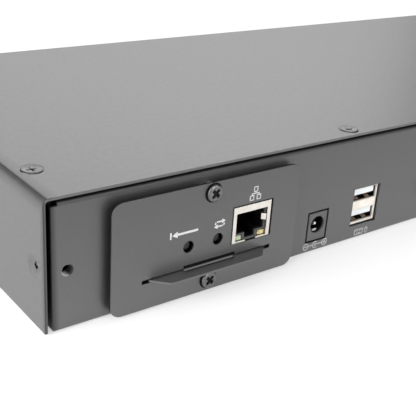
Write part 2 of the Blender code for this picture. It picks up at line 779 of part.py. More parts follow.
def make_top_cover():
    """Sheet folded over the top and both sides."""
    half = CHASSIS_WIDTH / 2
    inner = half - COVER_SHEET
    outer_bend = COVER_BEND_INNER + COVER_SHEET
    section = [
        (-half, FIT_GAP, 0),
        (-inner, FIT_GAP, 0),
        (-inner, COVER_UNDER, COVER_BEND_INNER),
        (inner, COVER_UNDER, COVER_BEND_INNER),
        (inner, FIT_GAP, 0),
        (half, FIT_GAP, 0),
        (half, CHASSIS_HEIGHT, outer_bend),
        (-half, CHASSIS_HEIGHT, outer_bend),
    ]
    length = CHASSIS_DEPTH - 2 * COVER_SETBACK
    folded = extruded_outline(section, length, facing_rear(0, 0, 0))
    cover = new_part("top_cover", folded, (0, 0, 0), BLACK_PAINT)
    cut(cover, cover_countersinks())


def cover_countersinks():
    profile = [
        (0, OVERCUT),
        (DIMPLE_RADIUS, OVERCUT),
        (DIMPLE_RADIUS, 0),
        (COVER_SCREW_HEAD + FIT_GAP, -DIMPLE_DEPTH),
        (COVER_SCREW_SHANK + FIT_GAP, -COVER_SHEET),
        (COVER_SCREW_SHANK + FIT_GAP, -COVER_SHEET - OVERCUT),
        (0, -COVER_SHEET - OVERCUT),
    ]
    bm = bmesh.new()
    for location, direction in cover_screw_places():
        sink = turned_profile(profile, pointing(*location, direction), FINE_SIDES)
        gather(bm, sink)
    add_rack_holes(bm, CHASSIS_WIDTH / 2 + OVERCUT, BASE_RIGHT + SIDE_GAP / 2)
    return bm


def gather(bm, other):
    mesh = bpy.data.meshes.new("gathered")
    other.to_mesh(mesh)
    other.free()
    bm.from_mesh(mesh)
    bpy.data.meshes.remove(mesh)


def make_cover_screws():
    mesh = screw_mesh("cover_screw", countersunk_profile(), BLACK_SCREW, ROUND_SIDES)
    for index, (location, direction) in enumerate(cover_screw_places()):
        sunk = Vector(location) - Vector(direction) * DIMPLE_DEPTH
        place_screw("cover_screw_%d" % (index + 1), mesh, sunk, direction)


def add_chip(bm, x, y, board_top, size):
    low = (x - size / 2, y - size / 2, board_top - EMBED)
    add_box(bm, low, (x + size / 2, y + size / 2, board_top + CHIP_HEIGHT))


# Network module


def make_module_plate(slide):
    corners = rounded_rectangle(PLATE_WIDTH, PLATE_TOP - PLATE_BOTTOM, PLATE_CORNER)
    middle = (PLATE_BACK + PLATE_FACE) / 2
    centre = (MODULE_X, middle, (PLATE_BOTTOM + PLATE_TOP) / 2)
    sheet = extruded_outline(corners, PLATE_SHEET, facing_rear(*centre))
    plate = new_part("module_plate", sheet, centre, BLACK_PAINT, slide)
    holes = bmesh.new()
    outside = PLATE_FACE - OVERCUT
    inside = PLATE_BACK + OVERCUT
    half = JACK_WIDTH / 2
    low = (JACK_X - half - FIT_GAP, outside, JACK_BOTTOM - FIT_GAP)
    add_box(holes, low, (JACK_X + half + JACK_SLIT, inside, JACK_TOP + FIT_GAP))
    slot = (MODULE_X - TAB_SLOT_WIDTH / 2, outside, TRAY_BOTTOM - FIT_GAP)
    add_box(holes, slot, (MODULE_X + TAB_SLOT_WIDTH / 2, inside, TRAY_TOP + FIT_GAP))
    for offset in (DEFAULT_BUTTON_X, RESET_BUTTON_X):
        x = MODULE_X + offset
        add_rod(holes, (x, outside, BUTTON_Z), (x, inside, BUTTON_Z), BUTTON_HOLE_RADIUS, FINE_SIDES)
    for z in MODULE_SCREW_ZS:
        start = (MODULE_SCREW_XS, outside, z)
        add_rod(holes, start, (MODULE_SCREW_XS, inside, z), PAN_SHANK + FIT_GAP)
    cut(plate, holes)
    half = TAB_WINDOW_WIDTH / 2
    low = (MODULE_X - half, outside, TRAY_TOP)
    cut(plate, solid_box(low, (MODULE_X + half, inside, TRAY_TOP + TAB_SLOT_NOTCH)))


def make_module_tray(slide):
    wide = TRAY_WIDTH / 2
    root = TAB_WIDTH / 2
    tip = root - TAB_TAPER
    tip_y = PLATE_FACE - TAB_REACH
    corners = [
        (-wide, TRAY_REAR, 0),
        (-wide, TRAY_FRONT, 0),
        (-root, TRAY_FRONT, 0),
        (-root, PLATE_FACE, 0),
        (-tip, tip_y, TAB_CORNER),
        (tip, tip_y, TAB_CORNER),
        (root, PLATE_FACE, 0),
        (root, TRAY_FRONT, 0),
        (wide, TRAY_FRONT, 0),
        (wide, TRAY_REAR, 0),
    ]
    middle = (TRAY_BOTTOM + TRAY_TOP) / 2
    outline = extruded_outline(corners, TRAY_SHEET, Matrix.Translation((MODULE_X, 0, middle)))
    tray = new_part("module_tray", outline, (MODULE_X, TRAY_FRONT, middle), BLACK_PAINT, slide)
    extras = bmesh.new()
    for side in (-1, 1):
        x = MODULE_X + side * (wide + EAR_INNER) / 2
        reach = (wide - EAR_INNER) / 2 - EMBED
        low = (x - reach, TRAY_FRONT + EMBED, TRAY_TOP - EMBED)
        high = (x + reach, TRAY_FRONT + TRAY_SHEET, TRAY_TOP + EAR_HEIGHT)
        add_box(extras, low, high)
        for y in (MODULE_BOARD_FRONT + TRAY_STUD_INSET, PLUG_FRONT - TRAY_STUD_INSET):
            stud_x = MODULE_X + side * (MODULE_BOARD_WIDTH / 2 - TRAY_STUD_INSET)
            start = (stud_x, y, TRAY_TOP - EMBED)
            add_rod(extras, start, (stud_x, y, TRAY_TOP + TRAY_STUD_HEIGHT), TRAY_STUD_RADIUS)
    join(tray, extras)
    half = TAB_WINDOW_WIDTH / 2
    low = (MODULE_X - half, PLATE_FACE - TAB_WINDOW_REACH, TRAY_BOTTOM - OVERCUT)
    cut(tray, solid_box(low, (MODULE_X + half, PLATE_FACE + FIT_GAP, TRAY_TOP + OVERCUT)))


def make_module_board(slide):
    half = MODULE_BOARD_WIDTH / 2
    low = (MODULE_X - half, MODULE_BOARD_FRONT, MODULE_BOARD_BOTTOM)
    high = (MODULE_X + half, PLUG_REAR - TONGUE_LENGTH / 2, MODULE_BOARD_TOP)
    origin = (MODULE_X, MODULE_BOARD_FRONT, MODULE_BOARD_BOTTOM)
    board = new_part("module_board", solid_box(low, high), origin, GREEN_BOARD, slide)
    chips = bmesh.new()
    middle = (JACK_FACE + JACK_DEPTH + PLUG_FRONT) / 2
    add_chip(chips, MODULE_X - MODULE_CHIP_OFFSET, middle, MODULE_BOARD_TOP, PROCESSOR_SIZE)
    for y in (middle - MEMORY_PITCH / 2, middle + MEMORY_PITCH / 2):
        add_chip(chips, MODULE_X + MODULE_CHIP_OFFSET, y, MODULE_BOARD_TOP, MEMORY_SIZE)
    join(board, chips)


def make_module_plug(slide):
    half = PLUG_WIDTH / 2
    low = (MODULE_X - half, PLUG_FRONT, PLUG_BOTTOM)
    high = (MODULE_X + half, PLUG_REAR, PLUG_BOTTOM + PLUG_HEIGHT)
    origin = (MODULE_X, PLUG_FRONT, PLUG_BOTTOM)
    plug = new_part("module_plug", solid_box(low, high), origin, BLACK_PLASTIC, slide)
    low = (MODULE_X - TONGUE_WIDTH / 2, PLUG_REAR - EMBED, TONGUE_BOTTOM)
    high = (MODULE_X + TONGUE_WIDTH / 2, PLUG_REAR + TONGUE_LENGTH, TONGUE_BOTTOM + TONGUE_HEIGHT)
    join(plug, solid_box(low, high))


def make_jack_shield(slide):
    half = JACK_WIDTH / 2
    rear = JACK_FACE + JACK_DEPTH
    origin = (JACK_X, JACK_FACE, JACK_BOTTOM)
    box = solid_box((JACK_X - half, JACK_FACE, JACK_BOTTOM), (JACK_X + half, rear, JACK_TOP))
    shield = new_part("lan_jack_shield", box, origin, NICKEL, slide)
    inner = half - JACK_WALL
    low = (JACK_X - inner, JACK_FACE + JACK_WALL, JACK_BOTTOM - OVERCUT)
    cut(shield, solid_box(low, (JACK_X + inner, rear - JACK_WALL, JACK_TOP - JACK_WALL)))
    window = half - JACK_SIDE_BAND
    face = bmesh.new()
    low = (JACK_X - window, JACK_FACE - OVERCUT, JACK_BOTTOM + JACK_FOOT_BAND)
    add_box(face, low, (JACK_X + window, JACK_FACE + JACK_WALL + OVERCUT, JACK_TOP - JACK_TOP_BAND))
    cut(shield, face)
    low = (JACK_X - LATCH_WIDTH / 2, JACK_FACE - OVERCUT, JACK_BOTTOM - OVERCUT)
    high = (JACK_X + LATCH_WIDTH / 2, JACK_FACE + JACK_WALL + OVERCUT, JACK_BOTTOM + JACK_LATCH_NOTCH)
    cut(shield, solid_box(low, high))
    fingers = bmesh.new()
    z = JACK_BOTTOM + FINGER_LEVEL
    for side in (-1, 1):
        start = (JACK_X + side * (window + FINGER_ROOT), JACK_FACE + JACK_WALL / 2, z)
        knee = (JACK_X + side * (window - FINGER_INSET), JACK_FACE + FINGER_KNEE, z)
        end = (knee[0] + side * FINGER_RETURN, JACK_FACE + FINGER_REACH, z)
        bend = (knee[0] + side * FINGER_SHEET, knee[1] - FINGER_SHEET, z)
        add_bar(fingers, start, knee, FINGER_SHEET, FINGER_HEIGHT)
        add_bar(fingers, bend, end, FINGER_SHEET, FINGER_HEIGHT - 2 * EMBED)
    join(shield, fingers)


def jack_cavity(bm, x, face, bottom):
    """Plug space of one port."""
    front = face - OVERCUT
    back = face + PORT_DEPTH
    low = (x - PORT_WIDTH / 2, front, bottom + PORT_FLOOR)
    add_box(bm, low, (x + PORT_WIDTH / 2, back, bottom + PORT_ROOF))


def latch_channel(bm, x, face, bottom):
    """Channel of the plug's latch under the plug space."""
    low = (x - LATCH_WIDTH / 2, face - OVERCUT, bottom + LATCH_FLOOR)
    high = (x + LATCH_WIDTH / 2, face + LATCH_DEPTH, bottom + PORT_FLOOR + EMBED)
    add_box(bm, low, high)


def make_jack_body(slide):
    half = JACK_WIDTH / 2 - JACK_WALL - FIT_GAP
    face = JACK_BODY_FACE
    rear = JACK_FACE + JACK_DEPTH - JACK_WALL - FIT_GAP
    low = (JACK_X - half, face, JACK_BOTTOM)
    high = (JACK_X + half, rear, JACK_TOP - JACK_WALL - FIT_GAP)
    body = new_part("lan_jack_body", solid_box(low, high), (JACK_X, face, JACK_BOTTOM), BLACK_PLASTIC, slide)
    cavity = bmesh.new()
    jack_cavity(cavity, JACK_X, face, JACK_BOTTOM)
    cut(body, cavity)
    pockets = bmesh.new()
    latch_channel(pockets, JACK_X, face, JACK_BOTTOM)
    for side in (-1, 1):
        middle = JACK_X + side * (LED_INNER + LED_WIDTH / 2)
        reach = LED_WIDTH / 2 + FIT_GAP
        bottom = JACK_BOTTOM + LED_LIFT
        low = (middle - reach, face - OVERCUT, bottom - FIT_GAP)
        high = (middle + reach, face + LED_LENGTH + FIT_GAP, bottom + LED_HEIGHT + FIT_GAP)
        add_box(pockets, low, high)
        z = JACK_BOTTOM + FINGER_LEVEL
        tall = FINGER_HEIGHT / 2 + FIT_GAP
        edge = JACK_X + side * half
        low = (edge - half + PORT_WIDTH / 2 - EMBED, face - OVERCUT, z - tall)
        deep = JACK_FACE + FINGER_REACH + FINGER_RELIEF
        add_box(pockets, low, (edge + half - PORT_WIDTH / 2 + EMBED, deep, z + tall))
    bar_half = contact_half() + FIT_GAP
    bar = face + CONTACT_SETBACK
    top = JACK_BOTTOM + PORT_ROOF
    low = (JACK_X - bar_half, bar - FIT_GAP, top - EMBED)
    high = (JACK_X + bar_half, bar + CONTACT_BAR_DEPTH + FIT_GAP, top + CONTACT_BAR_ABOVE + FIT_GAP)
    add_box(pockets, low, high)
    cut(body, pockets)


def contact_half():
    return CONTACT_PITCH * CONTACT_COUNT / 2 + CONTACT_WIRE


def make_contacts(slide):
    """Comb of spring wires that slope down into the plug space from a bar under its roof."""
    front = JACK_BODY_FACE + CONTACT_SETBACK
    top = JACK_BOTTOM + PORT_ROOF
    low = (JACK_X - contact_half(), front, top - CONTACT_BAR_BELOW)
    high = (JACK_X + contact_half(), front + CONTACT_BAR_DEPTH, top + CONTACT_BAR_ABOVE)
    comb = new_part("lan_contacts", solid_box(low, high), (JACK_X, front, top), GOLD_PLATE, slide)
    wires = bmesh.new()
    start_y = front + CONTACT_BAR_DEPTH - EMBED
    for index in range(CONTACT_COUNT):
        x = JACK_X + CONTACT_PITCH * (index - (CONTACT_COUNT - 1) / 2)
        start = (x, start_y, top + (CONTACT_WIRE - CONTACT_BAR_BELOW) / 2)
        end = (x, start_y + CONTACT_RUN, top - CONTACT_DROP)
        add_bar(wires, start, end, CONTACT_WIRE, CONTACT_WIRE)
    join(comb, wires)


def make_jack_lights(slide):
    face = JACK_BODY_FACE
    bottom = JACK_BOTTOM + LED_LIFT
    for name, side, finish in (("left", -1, GREEN_LENS), ("right", 1, AMBER_LENS)):
        middle = JACK_X + side * (LED_INNER + LED_WIDTH / 2)
        low = (middle - LED_WIDTH / 2, face, bottom)
        high = (middle + LED_WIDTH / 2, face + LED_LENGTH, bottom + LED_HEIGHT)
        new_part("lan_led_" + name, solid_box(low, high), (middle, face, bottom), finish, slide)


def make_recessed_button(name, offset, slide):
    x = MODULE_X + offset
    low = (x - SWITCH_WIDTH / 2, SWITCH_FACE, MODULE_BOARD_TOP + FIT_GAP)
    high = (x + SWITCH_WIDTH / 2, SWITCH_FACE + SWITCH_DEPTH, low[2] + SWITCH_HEIGHT)
    origin = (x, SWITCH_FACE, BUTTON_Z)
    switch = new_part(name + "_switch", solid_box(low, high), origin, BLACK_PLASTIC, slide)
    foot = BUTTON_TIP + BUTTON_LENGTH + BUTTON_TRAVEL + FIT_GAP
    cut(switch, solid_rod((x, SWITCH_FACE - OVERCUT, BUTTON_Z), (x, foot, BUTTON_Z), BUTTON_RADIUS + FIT_GAP))
    profile = [
        (0, 0),
        (BUTTON_RADIUS - BUTTON_EDGE, 0),
        (BUTTON_RADIUS, -BUTTON_EDGE),
        (BUTTON_RADIUS, -BUTTON_LENGTH),
        (0, -BUTTON_LENGTH),
    ]
    plunger = turned_profile(profile, pointing(x, BUTTON_TIP, BUTTON_Z, (0, -1, 0)))
    button = new_part(name + "_button", plunger, (x, BUTTON_TIP, BUTTON_Z), BLACK_PLASTIC, slide)
    shade_round(button)


def make_module_screws(slide):
    mesh = screw_mesh("module_screw", pan_profile(MODULE_SCREW_LENGTH), BLACK_SCREW, FINE_SIDES)
    y = PLATE_FACE - FIT_GAP - PAN_HEIGHT
    for name, z in zip(("bottom", "top"), MODULE_SCREW_ZS):
        place = (MODULE_SCREW_XS, y, z)
        place_screw("module_screw_" + name, mesh, place, (0, -1, 0), MODULE_SCREW_TURN, slide)


# Bay of the module in the chassis


def make_bay_standoffs():
    """Bushes clinched in the rear panel, which hold the plate off it and take its screws."""
    tall = PLATE_STANDOFF - 2 * FIT_GAP
    profile = [
        (0, 0),
        (STANDOFF_RADIUS, 0),
        (STANDOFF_RADIUS, -tall),
        (STANDOFF_BARREL, -tall),
        (STANDOFF_BARREL, -tall - FIT_GAP - BASE_SHEET - STANDOFF_DEPTH),
        (0, -tall - FIT_GAP - BASE_SHEET - STANDOFF_DEPTH),
    ]
    top = PLATE_BACK + FIT_GAP
    for name, z in zip(("bottom", "top"), MODULE_SCREW_ZS):
        bush = turned_profile(profile, pointing(MODULE_SCREW_XS, top, z, (0, -1, 0)))
        part = new_part("bay_standoff_" + name, bush, (MODULE_SCREW_XS, top, z), STEEL)
        deep = PANEL_INNER + STANDOFF_DEPTH + OVERCUT
        bore = solid_rod((MODULE_SCREW_XS, top - OVERCUT, z), (MODULE_SCREW_XS, deep, z), PAN_SHANK + FIT_GAP)
        cut(part, bore)


def make_bay_rails():
    groove = TRAY_WIDTH / 2 + FIT_GAP
    inner = TRAY_WIDTH / 2 - RAIL_GROOVE
    outer = groove + RAIL_WALL
    floor = BASE_SHEET + FIT_GAP
    low = TRAY_BOTTOM - FIT_GAP
    high = TRAY_TOP + FIT_GAP
    start = PANEL_INNER + FIT_GAP
    end = MAIN_ARM_REAR - RAIL_WALL
    for name, side in (("left", -1), ("right", 1)):
        profile = [
            (side * inner, floor, 0),
            (side * (outer + RAIL_FOOT), floor, 0),
            (side * (outer + RAIL_FOOT), floor + RAIL_FOOT_HEIGHT, 0),
            (side * outer, floor + RAIL_FOOT_HEIGHT, 0),
            (side * outer, high + RAIL_LIP, 0),
            (side * inner, high + RAIL_LIP, 0),
            (side * inner, high, 0),
            (side * groove, high, 0),
            (side * groove, low, 0),
            (side * inner, low, 0),
        ]
        rail = extruded_outline(profile, end - start, facing_rear(MODULE_X, (start + end) / 2, 0))
        new_part("bay_rail_" + name, rail, (MODULE_X + side * inner, start, floor), BLACK_PLASTIC)


def make_bay_socket():
    half = TONGUE_WIDTH / 2 + SOCKET_WALL
    top = TONGUE_BOTTOM + TONGUE_HEIGHT + SOCKET_WALL
    low = (MODULE_X - half, SOCKET_FRONT, MAIN_SEAT)
    socket = new_part("bay_socket", solid_box(low, (MODULE_X + half, SOCKET_REAR, top)), low, BLACK_PLASTIC)
    slot = TONGUE_WIDTH / 2 + FIT_GAP
    low = (MODULE_X - slot, SOCKET_FRONT - OVERCUT, TONGUE_BOTTOM - FIT_GAP)
    high = (MODULE_X + slot, PLUG_REAR + TONGUE_LENGTH + FIT_GAP, TONGUE_BOTTOM + TONGUE_HEIGHT + FIT_GAP)
    cut(socket, solid_box(low, high))


# Main board and the rear connectors


def make_main_board():
    left = LEFT + MAIN_LEFT
    right = BASE_RIGHT - MAIN_SIDE_MARGIN
    arm = BASE_LEFT + MAIN_ARM_MARGIN
    corners = [
        (left, MAIN_REAR, 0),
        (right, MAIN_REAR, 0),
        (right, MAIN_FRONT, 0),
        (arm, MAIN_FRONT, 0),
        (arm, MAIN_ARM_REAR, 0),
        (left, MAIN_ARM_REAR, 0),
    ]
    middle = (MAIN_BOTTOM + MAIN_TOP) / 2
    outline = extruded_outline(corners, BOARD_SHEET, Matrix.Translation((0, 0, middle)))
    board = new_part("main_board", outline, (left, MAIN_REAR, middle), GREEN_BOARD)
    chips = bmesh.new()
    spacing = (right - left) / (MAIN_CHIP_COUNT + 1)
    for index in range(MAIN_CHIP_COUNT):
        x = left + spacing * (index + 1)
        add_chip(chips, x, (MAIN_REAR + MAIN_FRONT) / 2, MAIN_TOP, MAIN_CHIP_SIZE)
    join(board, chips)
    holes = bmesh.new()
    for x, y in main_stud_places():
        add_rod(holes, (x, y, MAIN_BOTTOM - OVERCUT), (x, y, MAIN_TOP + OVERCUT), PAN_SHANK + FIT_GAP)
    cut(board, holes)


def make_board_screws():
    seat = MAIN_TOP + FIT_GAP + PAN_HEIGHT
    length = seat - PAN_HEIGHT - BASE_SHEET - 2 * FIT_GAP
    mesh = screw_mesh("board_screw", pan_profile(length), STEEL, HOLE_SIDES)
    for index, (x, y) in enumerate(main_stud_places()):
        place_screw("board_screw_%d" % (index + 1), mesh, (x, y, seat), (0, 0, 1))


def make_dc_jack():
    half = DC_WIDTH / 2
    axis_z = MAIN_SEAT + DC_AXIS
    low = (DC_CENTRE - half, REAR, MAIN_SEAT)
    high = (DC_CENTRE + half, REAR + DC_DEPTH, MAIN_SEAT + DC_HEIGHT)
    body = new_part("dc_jack_body", solid_box(low, high), (DC_CENTRE, REAR, axis_z), BLACK_PLASTIC)
    bore_end = REAR + DC_BORE_DEPTH
    start = (DC_CENTRE, REAR - OVERCUT, axis_z)
    cut(body, solid_rod(start, (DC_CENTRE, bore_end, axis_z), DC_BORE, FINE_SIDES))
    tall = DC_SPRING_HEIGHT / 2 + FIT_GAP
    low = (DC_CENTRE - DC_BORE - DC_SPRING_SLOT, REAR + DC_PIN_RECESS, axis_z - tall)
    slots = solid_box(low, (DC_CENTRE - DC_BORE / 2, REAR + DC_DEPTH + OVERCUT, axis_z + tall))
    start = (DC_CENTRE, REAR + DC_PIN_RECESS, axis_z)
    add_rod(slots, start, (DC_CENTRE, REAR + DC_DEPTH + OVERCUT, axis_z), DC_PIN + FIT_GAP)
    cut(body, slots)
    profile = [
        (0, 0),
        (DC_PIN / 2, 0),
        (DC_PIN, -DC_PIN),
        (DC_PIN, DC_PIN_RECESS - DC_DEPTH),
        (0, DC_PIN_RECESS - DC_DEPTH),
    ]
    tip = (DC_CENTRE, REAR + DC_PIN_RECESS, axis_z)
    pin = new_part("dc_jack_pin", turned_profile(profile, pointing(*tip, (0, -1, 0))), tip, NICKEL)
    shade_round(pin)
    leaf_x = DC_CENTRE - DC_BORE - DC_SPRING_SLOT + FIT_GAP
    low = (leaf_x, REAR + DC_PIN_RECESS + FIT_GAP, axis_z - DC_SPRING_HEIGHT / 2)
    high = (leaf_x + DC_SPRING_SHEET, REAR + DC_DEPTH, axis_z + DC_SPRING_HEIGHT / 2)
    leaf = new_part("dc_jack_spring", solid_box(low, high), low, NICKEL)
    bow = bmesh.new()
    nose = (leaf_x + DC_SPRING_SLOT, (REAR + bore_end) / 2, axis_z)
    for y in (REAR + DC_PIN_RECESS + 2 * FIT_GAP, bore_end - FIT_GAP):
        add_bar(bow, (leaf_x + EMBED, y, axis_z), nose, DC_SPRING_SHEET / 2, DC_SPRING_HEIGHT - 2 * EMBED)
    join(leaf, bow)
    leaf.modifiers[-1].use_self = True


def usb_ports():
    """Lowest level of each port's space, lower port first."""
    upper = USB_TOP - USB_WALL - USB_PORT_HEIGHT
    return (upper - USB_PORT_PITCH, upper)


def make_usb_socket():
    half = USB_WIDTH / 2
    rear = USB_FACE + USB_DEPTH
    low = (USB_CENTRE - half, USB_FACE, USB_BOTTOM)
    shell = new_part("usb_shell", solid_box(low, (USB_CENTRE + half, rear, USB_TOP)), low, NICKEL)
    block_front = rear - USB_BLOCK_DEPTH - FIT_GAP
    port = USB_PORT_WIDTH / 2
    spaces = bmesh.new()
    for z in usb_ports():
        low = (USB_CENTRE - port, USB_FACE - OVERCUT, z)
        add_box(spaces, low, (USB_CENTRE + port, block_front + EMBED, z + USB_PORT_HEIGHT))
    cut(shell, spaces)
    low = (USB_CENTRE - port, block_front, USB_BOTTOM - OVERCUT)
    cut(shell, solid_box(low, (USB_CENTRE + port, rear + OVERCUT, USB_TOP - USB_WALL)))
    block = port - FIT_GAP
    low = (USB_CENTRE - block, rear - USB_BLOCK_DEPTH, MAIN_SEAT)
    high = (USB_CENTRE + block, rear, USB_TOP - USB_WALL - FIT_GAP)
    body = new_part("usb_body", solid_box(low, high), low, WHITE_PLASTIC)
    tongues = bmesh.new()
    tongue = USB_TONGUE_WIDTH / 2
    for z in usb_ports():
        top = z + USB_PORT_HEIGHT - USB_TONGUE_DROP
        low = (USB_CENTRE - tongue, USB_FACE + USB_TONGUE_RECESS, top - USB_TONGUE_SHEET)
        add_box(tongues, low, (USB_CENTRE + tongue, rear - USB_BLOCK_DEPTH + EMBED, top))
    join(body, tongues)


def make_console_port():
    wide = CONSOLE_FLANGE_WIDTH / 2
    tall = CONSOLE_FLANGE_HEIGHT / 2
    flange_back = CONSOLE_FLANGE_FACE + CONSOLE_FLANGE_SHEET
    shroud_face = REAR - CONSOLE_SHROUD_PROUD
    low = (CONSOLE_CENTRE - wide, CONSOLE_FLANGE_FACE, CONSOLE_Z - tall)
    high = (CONSOLE_CENTRE + wide, flange_back, CONSOLE_Z + tall)
    centre = (CONSOLE_CENTRE, CONSOLE_FLANGE_FACE, CONSOLE_Z)
    shell = new_part("console_port_shell", solid_box(low, high), centre, NICKEL)
    length = CONSOLE_FLANGE_FACE + EMBED - shroud_face
    place = facing_rear(CONSOLE_CENTRE, shroud_face + length / 2, CONSOLE_Z)
    join(shell, extruded_outline(console_outline(0), length, place))
    length = flange_back - shroud_face + 2 * OVERCUT
    place = facing_rear(CONSOLE_CENTRE, (flange_back + shroud_face) / 2, CONSOLE_Z)
    cut(shell, extruded_outline(console_outline(-CONSOLE_SHROUD_WALL), length, place))
    holes = bmesh.new()
    for side in (-1, 1):
        x = CONSOLE_CENTRE + side * JACKSCREW_SPACING / 2
        start = (x, CONSOLE_FLANGE_FACE - OVERCUT, CONSOLE_Z)
        add_rod(holes, start, (x, flange_back + OVERCUT, CONSOLE_Z), JACKSCREW_SHANK + FIT_GAP)
    cut(shell, holes)
    make_console_insert(flange_back, shroud_face)
    make_jackscrews(flange_back)


def make_console_insert(flange_back, shroud_face):
    half = CONSOLE_BODY_WIDTH / 2 - JACKSCREW_RADIUS
    body_front = flange_back + FIT_GAP
    top = CONSOLE_Z + CONSOLE_FLANGE_HEIGHT / 2
    low = (CONSOLE_CENTRE - half, body_front, MAIN_SEAT)
    high = (CONSOLE_CENTRE + half, body_front + CONSOLE_BODY_DEPTH, top)
    origin = (CONSOLE_CENTRE, body_front, CONSOLE_Z)
    insert = new_part("console_port_insert", solid_box(low, high), origin, BLUE_PLASTIC)
    face = shroud_face + CONSOLE_SHROUD_WALL
    length = body_front + EMBED - face
    place = facing_rear(CONSOLE_CENTRE, face + length / 2, CONSOLE_Z)
    join(insert, extruded_outline(console_outline(-CONSOLE_SHROUD_WALL - FIT_GAP), length, place))
    pins = bmesh.new()
    for row in (-1, 0, 1):
        z = CONSOLE_Z - row * CONSOLE_PIN_ROW
        for column in (-2, -1, 0, 1, 2):
            x = CONSOLE_CENTRE + column * CONSOLE_PIN_PITCH + row * CONSOLE_PIN_PITCH / 4
            start = (x, face - OVERCUT, z)
            add_rod(pins, start, (x, face + CONSOLE_PIN_DEPTH, z), CONSOLE_PIN_RADIUS, HEX_SIDES)
    cut(insert, pins)


def make_jackscrews(flange_back):
    face = REAR - FIT_GAP - JACKSCREW_LENGTH
    for name, side in (("left", -1), ("right", 1)):
        x = CONSOLE_CENTRE + side * JACKSCREW_SPACING / 2
        foot = (x, REAR - FIT_GAP, CONSOLE_Z)
        head = solid_rod((x, face, CONSOLE_Z), foot, JACKSCREW_RADIUS, HEX_SIDES)
        screw = new_part("console_jackscrew_" + name, head, (x, face, CONSOLE_Z), STEEL)
        start = (x, REAR - FIT_GAP - EMBED, CONSOLE_Z)
        join(screw, solid_rod(start, (x, flange_back + OVERCUT, CONSOLE_Z), JACKSCREW_SHANK))
        start = (x, face - OVERCUT, CONSOLE_Z)
        end = (x, REAR - 2 * FIT_GAP - JACKSCREW_BORE, CONSOLE_Z)
        cut(screw, solid_rod(start, end, JACKSCREW_BORE))


def pc_port_xs():
    first = PC_PORT_X + PC_PORT_END + PC_PORT_PITCH / 2
    return [first + index * PC_PORT_PITCH for index in range(PC_PORT_COUNT)]


def make_pc_ports():
    right = PC_PORT_X + PC_PORT_WIDTH
    rear = PC_PORT_FACE + PC_PORT_DEPTH
    low = (PC_PORT_X, PC_PORT_FACE, MAIN_SEAT)
    shield = new_part("pc_port_shield", solid_box(low, (right, rear, PC_PORT_TOP)), low, NICKEL)
    low = (PC_PORT_X + JACK_WALL, PC_PORT_FACE + JACK_WALL, MAIN_SEAT - OVERCUT)
    cut(shield, solid_box(low, (right - JACK_WALL, rear - JACK_WALL, PC_PORT_TOP - JACK_WALL)))
    windows = bmesh.new()
    for x in pc_port_xs():
        low = (x - PORT_WIDTH / 2, PC_PORT_FACE - OVERCUT, MAIN_SEAT + LATCH_FLOOR)
        high = (x + PORT_WIDTH / 2, PC_PORT_FACE + JACK_WALL + OVERCUT, MAIN_SEAT + PORT_ROOF)
        add_box(windows, low, high)
    cut(shield, windows)
    inset = JACK_WALL + FIT_GAP
    face = PC_PORT_FACE + inset
    low = (PC_PORT_X + inset, face, MAIN_SEAT)
    block = solid_box(low, (right - inset, rear - inset, PC_PORT_TOP - inset))
    body = new_part("pc_port_body", block, low, BLACK_PLASTIC)
    cavities = bmesh.new()
    channels = bmesh.new()
    for x in pc_port_xs():
        jack_cavity(cavities, x, face, MAIN_SEAT)
        latch_channel(channels, x, face, MAIN_SEAT)
    cut(body, cavities)
    cut(body, channels)


# Front of the switch


def make_front_board():
    low = (-FRONT_BOARD_HALF, FRONT_BOARD_BACK, FRONT_BOARD_BOTTOM)
    high = (FRONT_BOARD_HALF, FRONT_BOARD_FACE, FRONT_BOARD_BOTTOM + FRONT_BOARD_HEIGHT)
    origin = (0, FRONT_BOARD_BACK, FRONT_BOARD_BOTTOM)
    board = new_part("front_board", solid_box(low, high), origin, GREEN_BOARD)
    switches = bmesh.new()
    half = FRONT_SWITCH_SIZE / 2
    for x in PORT_BUTTON_XS:
        low = (x - half, FRONT_BOARD_FACE - EMBED, PORT_BUTTON_Z - half)
        add_box(switches, low, (x + half, FRONT_BOARD_FACE + FRONT_SWITCH_DEPTH, PORT_BUTTON_Z + half))
    join(board, switches)


def make_front_header():
    """Pin header that stands on the main board and reaches the front board."""
    back = FRONT_BOARD_BACK - FIT_GAP - HEADER_DEPTH
    low = (-HEADER_WIDTH / 2, back, MAIN_SEAT)
    high = (HEADER_WIDTH / 2, FRONT_BOARD_BACK - FIT_GAP, MAIN_SEAT + HEADER_HEIGHT)
    new_part("front_header", solid_box(low, high), low, BLACK_PLASTIC)


def make_port_buttons():
    flange_face = FRONT_INNER - FIT_GAP
    flange_back = flange_face - PORT_BUTTON_FLANGE_SHEET
    tip = FRONT_BOARD_FACE + FRONT_SWITCH_DEPTH + FIT_GAP + PORT_BUTTON_TRAVEL
    cap_face = FRONT + PORT_BUTTON_PROUD
    length = cap_face - flange_face + EMBED
    wide = PORT_BUTTON_WIDTH / 2 + PORT_BUTTON_FLANGE
    tall = PORT_BUTTON_HEIGHT / 2 + PORT_BUTTON_FLANGE
    corners = rounded_rectangle(PORT_BUTTON_WIDTH, PORT_BUTTON_HEIGHT, PORT_BUTTON_CORNER)
    for index, x in enumerate(PORT_BUTTON_XS):
        low = (x - wide, flange_back, PORT_BUTTON_Z - tall)
        flange = solid_box(low, (x + wide, flange_face, PORT_BUTTON_Z + tall))
        button = new_part("port_button_%d" % (index + 1), flange, (x, FRONT, PORT_BUTTON_Z), BLACK_PLASTIC)
        place = facing_rear(x, cap_face - length / 2, PORT_BUTTON_Z)
        join(button, extruded_outline(corners, length, place))
        start = (x, flange_back + EMBED, PORT_BUTTON_Z)
        join(button, solid_rod(start, (x, tip, PORT_BUTTON_Z), PORT_BUTTON_STEM))


